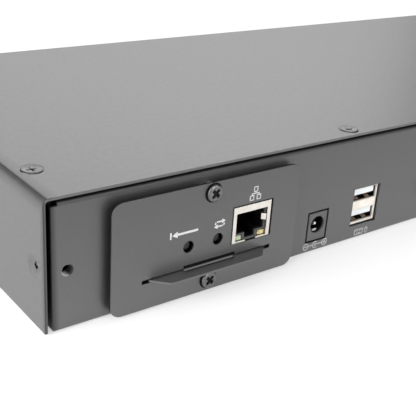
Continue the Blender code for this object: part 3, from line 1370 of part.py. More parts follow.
def make_light_pipe():
    """Clear bar behind the front wall with one post through it for each port."""
    back = FRONT_BOARD_FACE + FRONT_SWITCH_DEPTH
    half = FRONT_BOARD_HALF - FRONT_BOARD_MARGIN / 2
    low = (-half, back, PIPE_Z - PIPE_BAR_HEIGHT / 2)
    bar = solid_box(low, (half, back + PIPE_BAR_DEPTH, PIPE_Z + PIPE_BAR_HEIGHT / 2))
    pipe = new_part("led_light_pipe", bar, (0, back, PIPE_Z), CLEAR_PLASTIC)
    posts = bmesh.new()
    for x in PORT_BUTTON_XS:
        start = (x, FRONT_BOARD_FACE + FIT_GAP, PIPE_Z)
        add_rod(posts, start, (x, FRONT + PIPE_PROUD, PIPE_Z), PIPE_POST_RADIUS)
    join(pipe, posts)


def make_module():
    slide = bpy.data.objects.new("module_slide_axis", None)
    PARTS.objects.link(slide)
    slide.location = (MODULE_X, REAR, TRAY_TOP)
    make_module_plate(slide)
    make_module_tray(slide)
    make_module_board(slide)
    make_module_plug(slide)
    make_jack_shield(slide)
    make_jack_body(slide)
    make_contacts(slide)
    make_jack_lights(slide)
    make_recessed_button("default", DEFAULT_BUTTON_X, slide)
    make_recessed_button("reset", RESET_BUTTON_X, slide)
    make_module_screws(slide)


clear_scene()
PARTS = new_collection("kvm_switch")
CUTTERS = new_collection("cutters")
make_base_tray()
make_top_cover()
make_cover_screws()
make_module()
make_bay_standoffs()
make_bay_rails()
make_bay_socket()
make_main_board()
make_board_screws()
make_dc_jack()
make_usb_socket()
make_console_port()
make_pc_ports()
make_front_board()
make_front_header()
make_port_buttons()
make_light_pipe()
bpy.context.view_layer.update()
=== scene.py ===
"""Studio scene of a rack-width KVM switch with a slide-in network module."""

import math

import bmesh
import bpy
from mathutils import Matrix, Vector


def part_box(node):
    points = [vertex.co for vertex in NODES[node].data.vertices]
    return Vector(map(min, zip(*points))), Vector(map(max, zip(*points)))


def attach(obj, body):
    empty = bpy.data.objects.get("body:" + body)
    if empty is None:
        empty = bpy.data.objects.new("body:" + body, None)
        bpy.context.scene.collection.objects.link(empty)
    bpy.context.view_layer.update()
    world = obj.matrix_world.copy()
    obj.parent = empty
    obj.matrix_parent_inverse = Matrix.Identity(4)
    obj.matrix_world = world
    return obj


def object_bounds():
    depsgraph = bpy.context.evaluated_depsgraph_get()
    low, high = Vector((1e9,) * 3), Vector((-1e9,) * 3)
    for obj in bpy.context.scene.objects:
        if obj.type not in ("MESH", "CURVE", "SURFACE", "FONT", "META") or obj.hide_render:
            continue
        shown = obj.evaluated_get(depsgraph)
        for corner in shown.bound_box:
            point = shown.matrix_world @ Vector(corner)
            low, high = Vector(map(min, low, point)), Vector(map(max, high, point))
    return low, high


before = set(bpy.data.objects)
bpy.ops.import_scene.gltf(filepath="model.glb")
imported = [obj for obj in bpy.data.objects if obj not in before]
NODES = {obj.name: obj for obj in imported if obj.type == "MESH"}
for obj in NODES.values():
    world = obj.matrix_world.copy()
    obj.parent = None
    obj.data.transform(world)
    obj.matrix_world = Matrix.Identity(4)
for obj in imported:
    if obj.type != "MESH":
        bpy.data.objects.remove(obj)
CAD_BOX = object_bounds()

# Camera, solved from the photograph
IMAGE_PIXELS = 416
FOCAL_PIXELS = 791.458
SENSOR_WIDTH = 36
CLIP_START = 0.01
CAMERA_PLACE = (-0.307325, -0.262649, 0.132963)
CAMERA_AZIMUTH = math.radians(-38.474)
CAMERA_ELEVATION = math.radians(23.994)
CAMERA_ROLL = math.radians(4.028)

# Studio: even light, lamps (place, aim, width, height, radiance), floor and backdrop
WORLD_LIGHT = 0.12
SOFTBOXES = {
    "over_box": ((-0.6, -0.6, 2.2), (0, 0, 0.04), 2.2, 2.0, 1.2),
    "left_box": ((-1.8, 0.05, 0.7), (-0.2, 0.05, 0.02), 1.9, 1.2, 10.5),
    "far_box": ((1.0, 1.70, 1.0), (0, 0, 0.04), 1.8, 0.9, 2.4),
    "front_box": ((0.4, -1.8, 0.8), (0, -0.08, 0.02), 1.6, 0.9, 4.4),
    "right_box": ((0.64, 0.53, 1.36), (0, 0, 0.04), 0.9, 0.9, 1.2),
}
FLOOR_LEVEL = -0.00005
FLOOR_REACH = 6.0
FLOOR_WHITE = 0.5
FLOOR_NEAR = 0.35
FLOOR_FAR = 1.3
BACKDROP_TOP = 0.06
BACKDROP_END = 0.22

# Mesh settings
MM = 0.001
WELD = 0.000001
FLAT_ANGLE = math.radians(1)
EDGE_ANGLE = math.radians(35)
SMOOTH_ANGLE = math.radians(40)
ACROSS = (1, 0, 0)
REARWARD, FORWARD = -1, 1

# Widths of rounded edges
CONTACT_EDGE = 0.00004
SCREW_EDGE = 0.00006
THIN_EDGE = 0.0001
SHEET_EDGE = 0.00015
BODY_EDGE = 0.0002
USB_STRIP_EDGE = 0.00003
USB_SPRING_EDGE = 0.00005
JACKSCREW_EDGE = 0.00012
BUTTON_EDGE = 0.0003

# Faces and lines of the CAD nodes
PLATE_LOW, PLATE_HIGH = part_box("module_plate")
PLATE_FACE = PLATE_LOW[1]
BASE_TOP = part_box("base_tray")[1][2]
LEFT = CAD_BOX[0][0]
RIGHT = -LEFT
COVER_TOP = CAD_BOX[1][2]
REAR_FACE = -0.080
FRONT_FACE = 0.080
JACK_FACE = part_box("lan_jack_body")[0][1]
PORT_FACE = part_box("pc_port_body")[0][1]
USB_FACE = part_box("usb_shell")[0][1]
TOP_SCREWS = (1, 2, 3, 6, 7, 8)
SIDE_SCREWS = (4, 5, 9, 10)
SCREW_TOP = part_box("cover_screw_1")[1][2]
SCREW_SIDE = max(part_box("cover_screw_%d" % number)[1][0] for number in SIDE_SCREWS)
SCREW_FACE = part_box("module_screw_top")[0][1]
GROUND_X, GROUND_Z = LEFT + 0.0074, 0.0201


def centred(count, pitch):
    """Evenly spaced offsets about zero."""
    return [pitch * (index - (count - 1) / 2) for index in range(count)]


PORT_COUNT = 8
PORT_FIRST, PORT_PITCH = 0.0233, 0.014
PORT_XS = [PORT_FIRST + PORT_PITCH * index for index in range(PORT_COUNT)]
BUTTON_PITCH = 0.026
BUTTON_XS = centred(PORT_COUNT, BUTTON_PITCH)

# Materials: range of the noise that is used, rolling lines, gloss of paint, look of painted shade in unlit
# depths
GRAIN_STOPS = (0.35, 0.65)
GRAIN_RANGE = (0.3, 0.7)
ROLLING = (1, 1, 0.06)
PAINT_GLOSS = 0.9
PAINTED_SHADE_BLACK = (0.004, 0.004, 0.004, 1)
PAINTED_SHADE_GLOSS = 0.1

# Bands of painted shade: distance from an edge or a face where each starts, and where it is full
PANEL_SKIN = (0.00030, 0.00100)
PANEL_RIM = (0.0024, 0.0004)
PANEL_CORNER = (0.0048, 0.0015)
PANEL_RISE = (0.004, 0.040)
PANEL_FADE = 0.24
PLATE_CUT = (0.00025, 0.00055)
PLATE_BACK = (0, 0.00010)
COVER_WALL = (0.0012, 0.0004)
COVER_END = (0.0024, -0.0004)
COVER_END_FADE = 0.75
COVER_SKIN = (0.0006, 0.0002)
BELOW_BEND = (0.0048, 0.0014)
BELOW_BEND_FADE = 0.5
BESIDE_BEND = (0.0056, 0.0016)
BESIDE_BEND_FADE = 0.4
TOP_CROSS = (-0.00035, 0.00010)
SIDE_CROSS = (-0.00002, 0.00020)
PLATE_CROSS = (0.00035, 0.00060)
USB_FALL = (0.0003, 0.0012)
COLLAR_FALL = (0.0018, 0.0034)
COLLAR_SIDE = (-0.0004, 0.0009)
COLLAR_SIDE_FADE = 0.93
MOUTH_EDGE = 0.00020


def inward(edge, band):
    """Both ends of a band that is measured back from an edge."""
    return edge - band[0], edge - band[1]


def past(face, band):
    """Both ends of a band that is measured on from a face."""
    return face + band[0], face + band[1]


def shader_of(coat):
    return coat.node_tree.nodes["Principled BSDF"]


def new_material(name, colour, roughness, metallic=0.0):
    coat = bpy.data.materials.new(name)
    coat.use_nodes = True
    shader = shader_of(coat)
    shader.inputs["Base Color"].default_value = (*colour, 1)
    shader.inputs["Roughness"].default_value = roughness
    shader.inputs["Metallic"].default_value = metallic
    return coat


def combine(tree, operation, first, second):
    """Result of a math operation on two sockets."""
    node = tree.nodes.new("ShaderNodeMath")
    node.operation = operation
    tree.links.new(first, node.inputs[0])
    tree.links.new(second, node.inputs[1])
    return node.outputs["Value"]


def remap(tree, value, source=(0, 1), target=(0, 1), smooth=False):
    """Value carried from one range to another, and held at its ends."""
    spread = tree.nodes.new("ShaderNodeMapRange")
    if smooth:
        spread.interpolation_type = "SMOOTHSTEP"
    for name, number in zip(("From Min", "From Max", "To Min", "To Max"), (*source, *target)):
        spread.inputs[name].default_value = number
    tree.links.new(value, spread.inputs["Value"])
    return spread.outputs["Result"]


def tint(tree, value, dark, light):
    """Colour that wanders between two colours."""
    ramp = tree.nodes.new("ShaderNodeValToRGB")
    for stop, place, colour in zip(ramp.color_ramp.elements, GRAIN_STOPS, (dark, light)):
        stop.position = place
        stop.color = (*colour, 1)
    tree.links.new(value, ramp.inputs["Fac"])
    return ramp.outputs["Color"]


def grain(coat, scale, detail=2.0, stretch=(1, 1, 1)):
    """Noise over the object's own metres; a stretch below 1 draws it out along that axis."""
    tree = coat.node_tree
    place = tree.nodes.new("ShaderNodeTexCoord")
    mapping = tree.nodes.new("ShaderNodeMapping")
    mapping.inputs["Scale"].default_value = stretch
    noise = tree.nodes.new("ShaderNodeTexNoise")
    noise.inputs["Scale"].default_value = scale
    noise.inputs["Detail"].default_value = detail
    tree.links.new(place.outputs["Object"], mapping.inputs["Vector"])
    tree.links.new(mapping.outputs["Vector"], noise.inputs["Vector"])
    return noise.outputs["Fac"]


def shade(coat, value, dark, light):
    """Base colour that wanders between two colours."""
    tree = coat.node_tree
    tree.links.new(tint(tree, value, dark, light), shader_of(coat).inputs["Base Color"])


def dull(coat, value, low, high):
    """Roughness that wanders between two values."""
    tree = coat.node_tree
    tree.links.new(remap(tree, value, GRAIN_RANGE, (low, high)), shader_of(coat).inputs["Roughness"])


def emboss(coat, value, distance, strength=1.0):
    """Bump of a given height in metres, laid over any bump that is there already."""
    tree = coat.node_tree
    bump = tree.nodes.new("ShaderNodeBump")
    bump.inputs["Strength"].default_value = strength
    bump.inputs["Distance"].default_value = distance
    normal = shader_of(coat).inputs["Normal"]
    if normal.is_linked:
        tree.links.new(normal.links[0].from_socket, bump.inputs["Normal"])
    tree.links.new(value, bump.inputs["Height"])
    tree.links.new(bump.outputs["Normal"], normal)


def along(coat, axis, ends, mirrored=False, peak=1.0):
    """Mask that rises from 0 to its peak between two places on one axis of the object."""
    tree = coat.node_tree
    place = tree.nodes.new("ShaderNodeTexCoord")
    split = tree.nodes.new("ShaderNodeSeparateXYZ")
    tree.links.new(place.outputs["Object"], split.inputs["Vector"])
    value = split.outputs[axis]
    if mirrored:
        size = tree.nodes.new("ShaderNodeMath")
        size.operation = "ABSOLUTE"
        tree.links.new(value, size.inputs[0])
        value = size.outputs["Value"]
    return remap(tree, value, ends, (0, peak))


def both(coat, first, second):
    """Mask where two masks meet."""
    return combine(coat.node_tree, "MULTIPLY", first, second)


def either(coat, first, second):
    """Mask where at least one of two masks is set."""
    return combine(coat.node_tree, "MAXIMUM", first, second)


def paint_shade(coat, mask, gloss=0.5):
    """Painted shade where the mask is full: darker, and without most of its gloss."""
    tree = coat.node_tree
    shader = shader_of(coat)
    colour = shader.inputs["Base Color"]
    mix = tree.nodes.new("ShaderNodeMix")
    mix.data_type = "RGBA"
    tree.links.new(mask, mix.inputs["Factor"])
    tree.links.new(colour.links[0].from_socket, mix.inputs["A"])
    mix.inputs["B"].default_value = PAINTED_SHADE_BLACK
    tree.links.new(mix.outputs["Result"], colour)
    tree.links.new(remap(tree, mask, target=(gloss, PAINTED_SHADE_GLOSS)), shader.inputs["Specular IOR Level"])
    metal = shader.inputs["Metallic"]
    tree.links.new(remap(tree, mask, target=(metal.default_value, 0)), metal)


def make_powder_coat(name):
    coat = new_material(name, (0.036, 0.036, 0.037), 0.40)
    shader_of(coat).inputs["IOR"].default_value = 1.7
    shader_of(coat).inputs["Specular IOR Level"].default_value = PAINT_GLOSS
    shade(coat, grain(coat, 900, 4), (0.033, 0.033, 0.034), (0.039, 0.039, 0.040))
    dull(coat, grain(coat, 500, 3), 0.38, 0.42)
    emboss(coat, grain(coat, 700, 2), 0.00002, 0.5)
    emboss(coat, grain(coat, 3200, 2), 0.00001, 0.6)
    return coat


def make_panel_coat():
    """Paint of the base tray, with painted shade on its cut edges and inside, under the cover's edge, at
    its ends, and more towards its top.
    """
    coat = make_powder_coat("panel_coat")
    inside = along(coat, "Y", inward(FRONT_FACE, PANEL_SKIN), True)
    above = along(coat, "Z", PANEL_SKIN)
    shade_under_cover = along(coat, "Z", inward(BASE_TOP, PANEL_RIM))
    corner = along(coat, "X", inward(RIGHT, PANEL_CORNER), True)
    upper = along(coat, "Z", PANEL_RISE, peak=PANEL_FADE)
    shaded = either(coat, either(coat, shade_under_cover, corner), upper)
    paint_shade(coat, either(coat, both(coat, inside, above), shaded), PAINT_GLOSS)
    return coat


def make_cover_coat():
    """Paint of the cover, with painted shade along its bends and at the open ends of its side walls."""
    coat = make_powder_coat("cover_coat")
    wall = along(coat, "X", inward(RIGHT, COVER_WALL), True)
    end = along(coat, "Y", inward(FRONT_FACE, COVER_END), True, COVER_END_FADE)
    shade_below_bend = along(coat, "Z", inward(COVER_TOP, BELOW_BEND), peak=BELOW_BEND_FADE)
    top = along(coat, "Z", inward(COVER_TOP, COVER_SKIN))
    shade_beside_bend = along(coat, "X", inward(RIGHT, BESIDE_BEND), True, BESIDE_BEND_FADE)
    walls = both(coat, wall, either(coat, end, shade_below_bend))
    paint_shade(coat, either(coat, walls, both(coat, top, shade_beside_bend)), PAINT_GLOSS)
    return coat


def make_plate_coat():
    """Paint of the module plate, with painted shade on its cut edges and more towards its top."""
    coat = make_powder_coat("plate_coat")
    behind = along(coat, "Y", past(PLATE_FACE, PLATE_CUT))
    before = along(coat, "Y", inward(PLATE_HIGH[1], PLATE_BACK))
    upper = along(coat, "Z", PANEL_RISE, peak=PANEL_FADE)
    paint_shade(coat, either(coat, both(coat, behind, before), upper), PAINT_GLOSS)
    return coat


def make_screw_coat(name, tone, axis, ends, mirrored=False):
    """Blackened steel, with painted shade in its cross and below the head's face."""
    coat = new_material(name, (tone, tone, tone), 0.32, 1.0)
    shade(coat, grain(coat, 1600, 4), (tone * 0.75,) * 3, (tone * 1.25,) * 3)
    dull(coat, grain(coat, 1500, 2), 0.28, 0.38)
    emboss(coat, grain(coat, 2600, 3), 0.00003, 0.7)
    paint_shade(coat, along(coat, axis, ends, mirrored))
    return coat


def make_plating(name, dark, light, low, high, metallic=1.0):
    """Plated sheet with fine rolling lines."""
    coat = new_material(name, light, high, metallic)
    lines = grain(coat, 2600, 3, ROLLING)
    shade(coat, grain(coat, 350, 4), dark, light)
    dull(coat, lines, low, high)
    emboss(coat, lines, 0.000004, 0.5)
    return coat


def make_usb_plating():
    """Bright plating of the USB shell, with painted shade that falls off to black behind its face."""
    coat = make_plating("usb_plate", (0.82, 0.76, 0.69), (0.92, 0.87, 0.80), 0.38, 0.50, 0.4)
    paint_shade(coat, along(coat, "Y", past(USB_FACE, USB_FALL)))
    return coat


def make_collar_coat():
    """Zinc of the ground hole's collar, with painted shade in its depth and on the side away from the
    light.
    """
    coat = make_plating("collar_zinc", (0.46, 0.46, 0.46), (0.54, 0.54, 0.54), 0.38, 0.50, 0.3)
    depth = along(coat, "Y", past(REAR_FACE, COLLAR_FALL))
    side = along(coat, "X", past(GROUND_X, COLLAR_SIDE), peak=COLLAR_SIDE_FADE)
    paint_shade(coat, either(coat, depth, side))
    return coat


def make_plastic(name, dark, light, low, high):
    """Moulded plastic with a fine spark-eroded texture."""
    coat = new_material(name, light, high)
    shade(coat, grain(coat, 260, 4), dark, light)
    dull(coat, grain(coat, 500, 3), low, high)
    emboss(coat, grain(coat, 3800, 2), 0.00001, 0.6)
    return coat


def make_plastic_with_painted_shade(name, dark, light, face, depth):
    """Moulded plastic with painted shade in its mouth, falling off to black behind its face."""
    coat = make_plastic(name, dark, light, 0.40, 0.52)
    paint_shade(coat, along(coat, "Y", past(face, (MOUTH_EDGE, depth))))
    return coat


def make_lens(name, dark, light, clear):
    coat = new_material(name, light, 0.25)
    shader_of(coat).inputs["Transmission Weight"].default_value = clear
    shader_of(coat).inputs["IOR"].default_value = 1.49
    shade(coat, grain(coat, 900, 3), dark, light)
    dull(coat, grain(coat, 700, 2), 0.18, 0.32)
    emboss(coat, grain(coat, 1800, 2), 0.00001, 0.5)
    return coat


def make_board_coat(name, axis, level):
    """Solder mask with copper runs and dark chips; the chips stand above level on axis."""
    coat = new_material(name, (0.015, 0.095, 0.045), 0.35)
    tree = coat.node_tree
    place = tree.nodes.new("ShaderNodeTexCoord")
    runs = tree.nodes.new("ShaderNodeTexBrick")
    runs.inputs["Color1"].default_value = (0.013, 0.085, 0.040, 1)
    runs.inputs["Color2"].default_value = (0.018, 0.105, 0.050, 1)
    runs.inputs["Mortar"].default_value = (0.035, 0.170, 0.075, 1)
    runs.inputs["Scale"].default_value = 160
    runs.inputs["Mortar Size"].default_value = 0.022
    runs.inputs["Brick Width"].default_value = 1.7
    tree.links.new(place.outputs["Object"], runs.inputs["Vector"])
    split = tree.nodes.new("ShaderNodeSeparateXYZ")
    tree.links.new(place.outputs["Object"], split.inputs["Vector"])
    above = tree.nodes.new("ShaderNodeMath")
    above.operation = "GREATER_THAN"
    above.inputs[1].default_value = level
    tree.links.new(split.outputs[axis], above.inputs[0])
    chip = tint(tree, grain(coat, 700, 3), (0.010, 0.010, 0.011), (0.022, 0.022, 0.023))
    mix = tree.nodes.new("ShaderNodeMix")
    mix.data_type = "RGBA"
    tree.links.new(above.outputs["Value"], mix.inputs["Factor"])
    tree.links.new(runs.outputs["Color"], mix.inputs["A"])
    tree.links.new(chip, mix.inputs["B"])
    tree.links.new(mix.outputs["Result"], shader_of(coat).inputs["Base Color"])
    dull(coat, grain(coat, 400, 3), 0.28, 0.45)
    emboss(coat, runs.outputs["Fac"], 0.00002, 0.6)
    return coat


# Near-black for pieces of painted shadow: thin dark shapes put where shade falls.
def make_shadow_black(name):
    coat = new_material(name, (0.005, 0.005, 0.005), 0.95)
    shader_of(coat).inputs["Specular IOR Level"].default_value = 0.1
    shade(coat, grain(coat, 2400, 3), (0.003, 0.003, 0.003), (0.007, 0.007, 0.007))
    return coat


def make_ink(name, tone):
    coat = new_material(name, (tone, tone, tone), 0.55)
    shade(coat, grain(coat, 2600, 3), (tone * 0.85,) * 3, (tone * 1.10,) * 3)
    dull(coat, grain(coat, 1200, 2), 0.45, 0.65)
    return coat


POWDER_COAT = make_powder_coat("powder_coat")
COVER_COAT = make_cover_coat()
PANEL_COAT = make_panel_coat()
PLATE_COAT = make_plate_coat()
# Painted light in the tones: the top and side cover screws are alike but get different tones for how bright
# each renders, and the plate screws' tone is raised against the tab's shadow.
TOP_SCREW = make_screw_coat("top_screw", 0.13, "Z", inward(SCREW_TOP, TOP_CROSS))
SIDE_SCREW = make_screw_coat("side_screw", 0.19, "X", inward(SCREW_SIDE, SIDE_CROSS), True)
PLATE_SCREW = make_screw_coat("plate_screw", 0.17, "Y", past(SCREW_FACE, PLATE_CROSS))
NICKEL = make_plating("bright_nickel", (0.70, 0.66, 0.61), (0.84, 0.80, 0.75), 0.20, 0.34)
TIN = make_plating("dull_tin", (0.60, 0.60, 0.60), (0.74, 0.74, 0.73), 0.32, 0.46)
ZINC = make_plating("bright_zinc", (0.56, 0.57, 0.59), (0.68, 0.69, 0.71), 0.28, 0.42)
COLLAR_ZINC = make_collar_coat()
USB_PLATE = make_usb_plating()
SATIN_NICKEL = make_plating("satin_nickel", (0.80, 0.78, 0.75), (0.90, 0.88, 0.85), 0.30, 0.45, 0.35)
BRONZE = make_plating("spring_bronze", (0.62, 0.44, 0.32), (0.76, 0.57, 0.43), 0.30, 0.45)
GOLD = make_plating("gold_flash", (0.76, 0.52, 0.20), (0.88, 0.66, 0.30), 0.18, 0.30)
BLACK_PLASTIC = make_plastic("black_plastic", (0.016, 0.016, 0.017), (0.026, 0.026, 0.027), 0.42, 0.58)
INLET_PLASTIC = make_plastic_with_painted_shade(
    "inlet_plastic", (0.088, 0.088, 0.089), (0.104, 0.104, 0.105), REAR_FACE, 0.0010
)
JACK_PLASTIC = make_plastic_with_painted_shade(
    "jack_plastic", (0.060, 0.060, 0.061), (0.075, 0.075, 0.076), JACK_FACE, 0.0010
)
PORT_PLASTIC = make_plastic_with_painted_shade(
    "port_plastic", (0.024, 0.024, 0.025), (0.034, 0.034, 0.035), PORT_FACE, 0.0030
)
WHITE_PLASTIC = make_plastic("white_plastic", (0.84, 0.88, 0.90), (0.89, 0.93, 0.95), 0.32, 0.46)
BLUE_PLASTIC = make_plastic("blue_plastic", (0.020, 0.060, 0.30), (0.030, 0.085, 0.38), 0.36, 0.50)
GREEN_LENS = make_lens("green_lens", (0.34, 0.46, 0.24), (0.66, 0.74, 0.54), 0.10)
AMBER_LENS = make_lens("amber_lens", (0.40, 0.30, 0.09), (0.78, 0.66, 0.33), 0.10)
CLEAR_PLASTIC = make_lens("clear_plastic", (0.82, 0.86, 0.88), (0.92, 0.95, 0.96), 0.85)
CERAMIC = make_plastic("ceramic", (0.20, 0.15, 0.10), (0.30, 0.23, 0.16), 0.35, 0.50)
SHADOW_BLACK = make_shadow_black("painted_shadow_black")
WHITE_INK = make_ink("white_ink", 0.62)
GREY_INK = make_ink("grey_ink", 0.44)


# Mesh helpers


def make_smoothing():
    """Node group that shades smooth across every edge flatter than SMOOTH_ANGLE."""
    group = bpy.data.node_groups.new("smooth_by_angle", "GeometryNodeTree")
    group.interface.new_socket("Geometry", in_out="INPUT", socket_type="NodeSocketGeometry")
    group.interface.new_socket("Geometry", in_out="OUTPUT", socket_type="NodeSocketGeometry")
    entry = group.nodes.new("NodeGroupInput")
    leave = group.nodes.new("NodeGroupOutput")
    faces = group.nodes.new("GeometryNodeSetShadeSmooth")
    faces.domain = "FACE"
    edges = group.nodes.new("GeometryNodeSetShadeSmooth")
    edges.domain = "EDGE"
    angle = group.nodes.new("GeometryNodeInputMeshEdgeAngle")
    flatter = group.nodes.new("FunctionNodeCompare")
    flatter.data_type = "FLOAT"
    flatter.operation = "LESS_EQUAL"
    flatter.inputs["B"].default_value = SMOOTH_ANGLE
    group.links.new(angle.outputs["Unsigned Angle"], flatter.inputs["A"])
    group.links.new(entry.outputs["Geometry"], faces.inputs["Geometry"])
    group.links.new(faces.outputs["Geometry"], edges.inputs["Geometry"])
    group.links.new(flatter.outputs["Result"], edges.inputs["Shade Smooth"])
    group.links.new(edges.outputs["Geometry"], leave.inputs["Geometry"])
    return group


SMOOTHING = make_smoothing()


def soften(piece, bevel, segments=2, whole=True):
    """Edges rounded by bevel and shaded smooth; whole also joins the faces that lie flat together."""
    weld = piece.modifiers.new("weld", "WELD")
    weld.merge_threshold = WELD
    if whole:
        flat = piece.modifiers.new("flat", "DECIMATE")
        flat.decimate_type = "DISSOLVE"
        flat.angle_limit = FLAT_ANGLE
    if bevel:
        edge = piece.modifiers.new("edge", "BEVEL")
        edge.width = bevel
        edge.segments = segments
        edge.limit_method = "ANGLE"
        edge.angle_limit = EDGE_ANGLE
    piece.modifiers.new("smooth", "NODES").node_group = SMOOTHING
    normals = piece.modifiers.new("normals", "WEIGHTED_NORMAL")
    normals.keep_sharp = True


def dress(names, coat, bevel, segments=2):
    for name in names:
        part = NODES[name]
        if not part.material_slots:
            part.data.materials.append(coat)
        for place in part.material_slots:
            place.material = coat
        soften(part, bevel, segments)


def new_piece(name, bm, coat, body, bevel=0.0, whole=True):
    bmesh.ops.remove_doubles(bm, verts=bm.verts, dist=WELD)
    bmesh.ops.recalc_face_normals(bm, faces=bm.faces)
    mesh = bpy.data.meshes.new(name)
    bm.to_mesh(mesh)
    bm.free()
    mesh.materials.append(coat)
    piece = bpy.data.objects.new(name, mesh)
    bpy.context.scene.collection.objects.link(piece)
    soften(piece, bevel, whole=whole)
    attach(piece, body)


def centre_of(low, high):
    return [(low[axis] + high[axis]) / 2 for axis in range(3)]


def whole_turn(steps):
    """Evenly spaced angles of one turn."""
    return [math.tau * index / steps for index in range(steps)]


def add_prism(bm, corners, shift):
    """Solid between a closed loop of points and its copy moved by a vector."""
    near = [bm.verts.new(point) for point in corners]
    far = [bm.verts.new(Vector(point) + Vector(shift)) for point in corners]
    bm.faces.new(near)
    bm.faces.new(list(reversed(far)))
    for index, vert in enumerate(near):
        after = (index + 1) % len(near)
        bm.faces.new((near[after], vert, far[index], far[after]))


def add_box(bm, low, high):
    (x0, y0, z0), (x1, y1, z1) = low, high
    add_prism(bm, [(x0, y0, z0), (x1, y0, z0), (x1, y1, z0), (x0, y1, z0)], (0, 0, z1 - z0))


def add_turned(bm, x, z, rings, sides=24):
    """Closed ring turned about a line along y; rings holds the (y, radius) points of its section."""
    angles = whole_turn(sides)
    loops = []
    for y, radius in rings:
        loop = [(x + radius * math.cos(angle), y, z + radius * math.sin(angle)) for angle in angles]
        loops.append([bm.verts.new(point) for point in loop])
    for before, after in zip(loops, loops[1:] + loops[:1]):
        for index in range(sides):
            turn = (index + 1) % sides
            bm.faces.new((before[index], before[turn], after[turn], after[index]))


def add_strip(bm, path, width_axis, width, sheet):
    """Bent strip of sheet along a path; the sheet lies on the path's left, seen along width_axis."""
    axis = Vector(width_axis)
    points = [Vector(point) for point in path]
    below = []
    for index, point in enumerate(points):
        before = points[max(index - 1, 0)]
        after = points[min(index + 1, len(points) - 1)]
        below.append(point + axis.cross((after - before).normalized()) * sheet)
    outline = points + list(reversed(below))
    add_prism(bm, [corner - axis * width / 2 for corner in outline], axis * width)


# Printed marks, drawn in millimetres across and up


INK = 0.00003
INK_FOOT = 0.00005
NUMERAL_HEIGHT = 0.0028
NUMERAL_SHARE = 0.73  # of the font's size
NUMERAL_Z = 0.0205
FRONT_SIGN_SIZE = 0.6
FRONT_SIGN_X = 0.00156
FRONT_SIGN_Z = 0.0072


def bar(x0, z0, x1, z1, width):
    way = Vector((x1 - x0, z1 - z0)).normalized()
    side = Vector((-way.y, way.x)) * width / 2
    start, end = Vector((x0, z0)), Vector((x1, z1))
    return [start - side, end - side, end + side, start + side]


def square_frame(x0, z0, x1, z1, width):
    half = width / 2
    return [
        bar(x0, z0 + half, x1, z0 + half, width),
        bar(x0, z1 - half, x1, z1 - half, width),
        bar(x0 + half, z0 + half, x0 + half, z1 - half, width),
        bar(x1 - half, z0 + half, x1 - half, z1 - half, width),
    ]


def arc(x, z, radius, width, start, end, steps=20):
    """Part of a ring, up to three quarters of a turn."""
    outer, inner = [], []
    for index in range(steps + 1):
        angle = math.radians(start + (end - start) * index / steps)
        way = Vector((math.cos(angle), math.sin(angle)))
        outer.append(Vector((x, z)) + way * (radius + width / 2))
        inner.append(Vector((x, z)) + way * (radius - width / 2))
    return outer + list(reversed(inner))


def disc(x, z, radius, steps=20):
    return [(x + radius * math.cos(angle), z + radius * math.sin(angle)) for angle in whole_turn(steps)]


def ring(x, z, radius, width):
    return [arc(x, z, radius, width, 0, 181), arc(x, z, radius, width, 180, 361)]


def return_sign():
    """Arrow that runs back to a bar: return to the starting state."""
    return [
        bar(0.3, 0.0, 0.3, 2.3, 0.6),
        [(0.85, 1.15), (2.9, 0.0), (2.9, 2.3)],
        bar(2.8, 1.15, 10.8, 1.15, 0.8),
    ]


def restart_sign():
    """Flat loop of two arrows that chase each other."""
    return [
        bar(1.1, 1.95, 3.3, 1.95, 0.5),
        [(3.2, 1.1), (4.7, 1.95), (3.2, 2.8)],
        bar(1.4, 0.3, 3.6, 0.3, 0.5),
        [(1.5, -0.55), (0.0, 0.3), (1.5, 1.15)],
        bar(0.45, 1.1, 0.75, 1.95, 0.5),
        bar(4.25, 1.15, 3.95, 0.3, 0.5),
    ]


def network_sign():
    """Three boxes joined by lines."""
    stroke = 0.34
    return [
        *square_frame(1.5, 2.95, 3.3, 4.9, stroke),
        *square_frame(0.0, 0.0, 1.85, 1.9, stroke),
        *square_frame(2.95, 0.0, 4.8, 1.9, stroke),
        bar(2.4, 2.95, 2.4, 2.42, stroke),
        bar(0.76, 2.42, 4.04, 2.42, stroke),
        bar(0.92, 2.3, 0.92, 1.9, stroke),
        bar(3.88, 2.3, 3.88, 1.9, stroke),
    ]


def polarity_sign():
    """Inlet polarity: ring at minus, pin at plus."""
    stroke, level = 0.42, 1.45
    return [
        *ring(1.45, level, 1.22, stroke),
        bar(0.75, level, 2.15, level, stroke),
        bar(2.8, level, 4.75, level, stroke),
        arc(6.2, level, 1.25, stroke, 50, 310, 24),
        disc(6.2, level, 0.55),
        bar(6.2, level, 9.6, level, stroke),
        *ring(10.95, level, 1.22, stroke),
        bar(10.25, level, 11.65, level, stroke),
        bar(10.95, 0.75, 10.95, 1.24, stroke),
        bar(10.95, 1.66, 10.95, 2.15, stroke),
    ]


def input_sign():
    """Keyboard and mouse."""
    outline, key = 0.32, 0.24
    columns = [0.95 + 0.97 * column for column in range(4)]
    return [
        *square_frame(0.0, 0.2, 4.8, 2.6, 0.34),
        bar(1.3, 0.8, 3.5, 0.8, 0.36),
        *[bar(x - key, 1.85, x + key, 1.85, 0.42) for x in columns],
        arc(6.6, 1.75, 0.72, outline, 0, 180, 14),
        arc(6.6, 0.92, 0.72, outline, 180, 360, 14),
        bar(5.88, 0.9, 5.88, 1.77, outline),
        bar(7.32, 0.9, 7.32, 1.77, outline),
        bar(6.6, 1.55, 6.6, 2.2, 0.3),
    ]


def screen_sign():
    """Monitor on its foot."""
    return [
        *square_frame(0.0, 1.3, 5.2, 4.6, 0.36),
        bar(2.6, 0.55, 2.6, 1.3, 0.6),
        bar(1.4, 0.3, 3.8, 0.3, 0.5),
    ]


